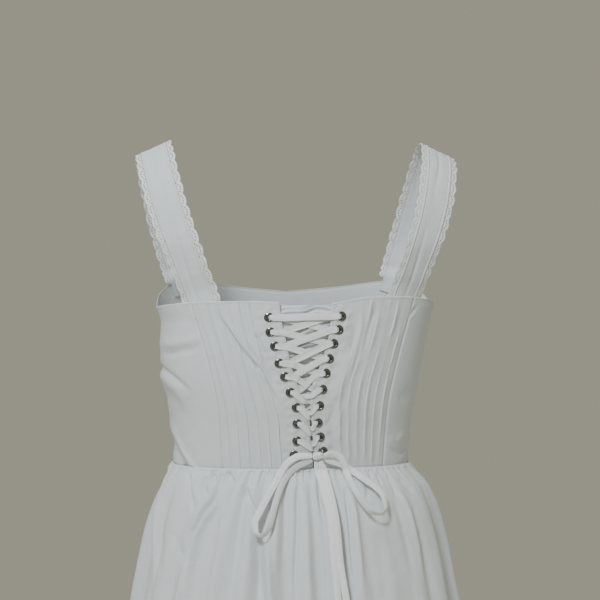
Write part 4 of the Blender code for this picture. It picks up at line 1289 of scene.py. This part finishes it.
class DRESS_OT_bow(bpy.types.Operator):
    """Tie the bow: the knot, two loops and two hanging tails"""

    bl_idname = "dress.bow"
    bl_label = "Bow"

    def execute(self, context):
        width = context.scene.dress_sizes.ribbon
        self.hang("bow_loop_left", LOOP_LEFT, 180, "object", width)
        self.hang("bow_loop_right", LOOP_RIGHT, 180, "object", width)
        self.hang("bow_tail_left", TAIL_LEFT, 200, "bare", width)
        self.hang("bow_tail_right", TAIL_RIGHT, 200, "bare", width)
        self.tie_knot()
        return {"FINISHED"}

    def hang(self, node, bends, pieces, far_end, full):
        step = np.linspace(0, bends[-1].step, pieces)
        x, z, lift, twist = (read(bends, column, step, "step") for column in ("x", "z", "lift", "twist"))
        centres = draped_point(x, z, lift)
        run = np.gradient(centres, axis=0)
        twist = np.radians(twist)[:, None]
        flat = unit(np.stack((run[:, 2], np.zeros(len(run)), -run[:, 0]), axis=1))
        width = flat * np.cos(twist) + np.array((0, 1, 0)) * np.sin(twist)
        taper = between(0.6, 0.9, smooth(0, 0.8, step))
        if far_end == "object":
            taper = taper * between(0.6, 1, smooth(0, 0.8, bends[-1].step - step))
        ribbon_piece(node, centres, width * (taper * full / 2)[:, None], 0.45)

    def tie_knot(self):
        knot = bmesh.new()
        bmesh.ops.create_uvsphere(knot, u_segments=48, v_segments=32, radius=0.5)
        centre = Vector(draped_point(KNOT_X, KNOT_Z, KNOT_LIFT))
        for vertex in knot.verts:
            x, y, z = vertex.co * 2
            wrap = 0.05 * math.sin(9 * z + 2.5 * x) + 0.06 * math.sin(5 * z - 3 * x + 1)
            pinch = 1 - 0.18 * math.exp(-((x / 0.35) ** 2)) * abs(z)
            reach = Vector((KNOT_SIZE[0] * x, KNOT_SIZE[1] * y, KNOT_SIZE[2] * z * pinch))
            vertex.co = (centre + reach * (0.5 + 0.5 * wrap)) * MM
        mesh = mesh_from(knot, "bow_knot_tape")
        mesh.uv_layers.new(name="cloth")
        finished(mesh, made_once("ribbon tape", tape), ["bow_knot"])


class DRESS_OT_stitching(bpy.types.Operator):
    """Lay the topstitches along the plackets, the top edge, the straps and the hem"""

    bl_idname = "dress.stitching"
    bl_label = "Topstitching"

    def execute(self, context):
        stitches = bmesh.new()
        shape = stitch_shape()
        for points, normals in self.lines():
            lay_stitches(stitches, shape, points, normals, context.scene.dress_sizes.stitch)
        bpy.data.meshes.remove(shape)
        finished(mesh_from(stitches, "topstitching"), made_once("white thread", thread), [])
        return {"FINISHED"}

    def lines(self):
        """Each line of stitches as its points on the cloth and the directions out of it."""
        depth = np.linspace(-166, -333, 400)
        for side, _ in SIDES:
            x = placket_x(side, depth) + side * STITCH_FROM_PLACKET
            yield back_point(x, depth, WALL + 0.05), back_point(x, depth, 2.0) - back_point(x, depth, 1.0)
        around = np.linspace(-SIDE_SEAM, SIDE_SEAM - 360, 900)
        z = top_edge(around) - STITCH_FROM_TOP
        yield bodice_point(around, z, WALL + 0.1), bodice_point(around, z, 2.0) - bodice_point(around, z, 1.0)
        step = np.linspace(1.2, 14.6, 800)
        for side, _ in SIDES:
            for edge in (-1, 1):
                aside = edge * (STRAP_WIDTH / 2 - STITCH_FROM_STRAP_EDGE)
                low, high = (strap_point(step, aside, side, WALL + up) for up in (0, 1))
                yield low, high - low
        for start in (0, FRONT):
            angle = np.linspace(start + SIDE_SEAM, start - SIDE_SEAM, 2400)
            out = polar(angle, 1.0, 0 * angle)
            yield skirt_point(angle, np.full(angle.shape, HEM + STITCH_FROM_HEM), start) + out * 0.5, out


def stitch_shape():
    """One stitch along X from 0 to 1: a rounded thread with both ends sunk in the cloth."""
    one = bmesh.new()
    for share, size, rise in STITCH_RINGS:
        place = Matrix.Translation((share, 0, rise)) @ Matrix.Rotation(math.pi / 2, 4, "Y")
        bmesh.ops.create_circle(one, segments=4, radius=size, matrix=place)
    bmesh.ops.bridge_loops(one, edges=one.edges)
    bmesh.ops.holes_fill(one, edges=one.edges, sides=4)
    bmesh.ops.recalc_face_normals(one, faces=one.faces)
    return mesh_from(one, "stitch")


def lay_stitches(stitches, shape, points, normals, spacing):
    """Stitches along a line, one after the other."""
    along = np.concatenate(([0], np.linalg.norm(np.diff(points, axis=0), axis=1).cumsum()))

    def at(place, values):
        return np.array([np.interp(place, along, values[:, n]) for n in range(3)])

    for start in np.arange(1, along[-1] - spacing, spacing):
        near, far = at(start, points), at(start + STITCH_SHARE * spacing, points)
        out = unit(at(start, normals))
        aside = np.cross(out, unit(far - near))
        place = Matrix((np.stack((far - near, aside, out, near), axis=1) * MM).tolist()).to_4x4()
        stitches.from_mesh(shape)
        stitches.verts.ensure_lookup_table()
        for vertex in stitches.verts[-len(shape.vertices):]:
            vertex.co = place @ vertex.co


def hang_light(light):
    lamp = bpy.data.objects.new(light.name, bpy.data.lights.new(light.name, "AREA"))
    lamp.data.size = light.size
    lamp.data.energy = light.power
    lamp.data.color = light.colour
    lamp.location = light.place
    lamp.rotation_euler = (Vector(light.target) - Vector(light.place)).to_track_quat("-Z", "Y").to_euler()
    bpy.context.scene.collection.objects.link(lamp)


class DRESS_OT_stage(bpy.types.Operator):
    """Set the camera as in the photograph, the soft lights and the pale floor"""

    bl_idname = "dress.stage"
    bl_label = "Camera, lights and floor"

    def execute(self, context):
        look = context.scene.dress_colours
        self.set_camera(context.scene)
        self.fill_room(context.scene, look)
        for light in LIGHTS:
            hang_light(light)
        self.lay_floor(context.scene, look)
        return {"FINISHED"}

    def set_camera(self, scene):
        camera = bpy.data.objects.new("camera", bpy.data.cameras.new("camera"))
        camera.data.lens = CAMERA_LENS
        camera.data.sensor_width = 36
        camera.location = CAMERA_PLACE
        camera.rotation_euler = Vector(CAMERA_AIM).to_track_quat("-Z", "Y").to_euler()
        scene.collection.objects.link(camera)
        scene.camera = camera

    def fill_room(self, scene, look):
        scene.world = bpy.data.worlds.new("room")
        scene.world.use_nodes = True
        background = scene.world.node_tree.nodes["Background"]
        background.inputs["Color"].default_value = (*look.wall, 1)
        background.inputs["Strength"].default_value = ROOM_LIGHT

    def lay_floor(self, scene, look):
        disc = bmesh.new()
        bmesh.ops.create_circle(disc, cap_ends=True, segments=96, radius=FLOOR_RADIUS)
        bmesh.ops.translate(disc, vec=(0, 0, FLOOR_Z), verts=disc.verts)
        finish = Finish("floor", Roughness=0.8)
        finish.colour(finish.noise(40, 3), 0.97, look.floor)
        floor = bpy.data.objects.new("floor", mesh_from(disc, "floor"))
        floor.data.materials.append(finish.material)
        scene.collection.objects.link(floor)
        floor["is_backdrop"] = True


PIECES = (
    DRESS_OT_stage, DRESS_OT_lacing, DRESS_OT_bow, DRESS_OT_bodice_front, DRESS_OT_side_backs,
    DRESS_OT_back_panels, DRESS_OT_modesty_panel, DRESS_OT_eyelets, DRESS_OT_skirt, DRESS_OT_straps,
    DRESS_OT_strap_lace, DRESS_OT_stitching,
)


class DRESS_PT_pieces(bpy.types.Panel):
    """The dress's pieces, sizes and colours"""

    bl_label = "Babydoll dress"
    bl_idname = "DRESS_PT_pieces"
    bl_space_type = "VIEW_3D"
    bl_region_type = "UI"
    bl_category = "Dress"

    def draw(self, context):
        for group in (context.scene.dress_sizes, context.scene.dress_colours):
            for name in group.__annotations__:
                self.layout.prop(group, name)
        for operator in PIECES:
            self.layout.operator(operator.bl_idname)


CLASSES = (DressSizes, DressColours, *PIECES, DRESS_PT_pieces)


def register():
    for one in CLASSES:
        bpy.utils.register_class(one)
    bpy.types.Scene.dress_sizes = bpy.props.PointerProperty(type=DressSizes)
    bpy.types.Scene.dress_colours = bpy.props.PointerProperty(type=DressColours)


def unregister():
    del bpy.types.Scene.dress_sizes
    del bpy.types.Scene.dress_colours
    for one in reversed(CLASSES):
        bpy.utils.unregister_class(one)


def main():
    register()
    for piece in PIECES:
        getattr(bpy.ops.dress, piece.bl_idname.removeprefix("dress."))()
    boxes = {"before": CAD_BOX, "after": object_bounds()}
    {word: [list(corner) for corner in box] for word, box in boxes.items()}


if __name__ == "__main__":
    main()
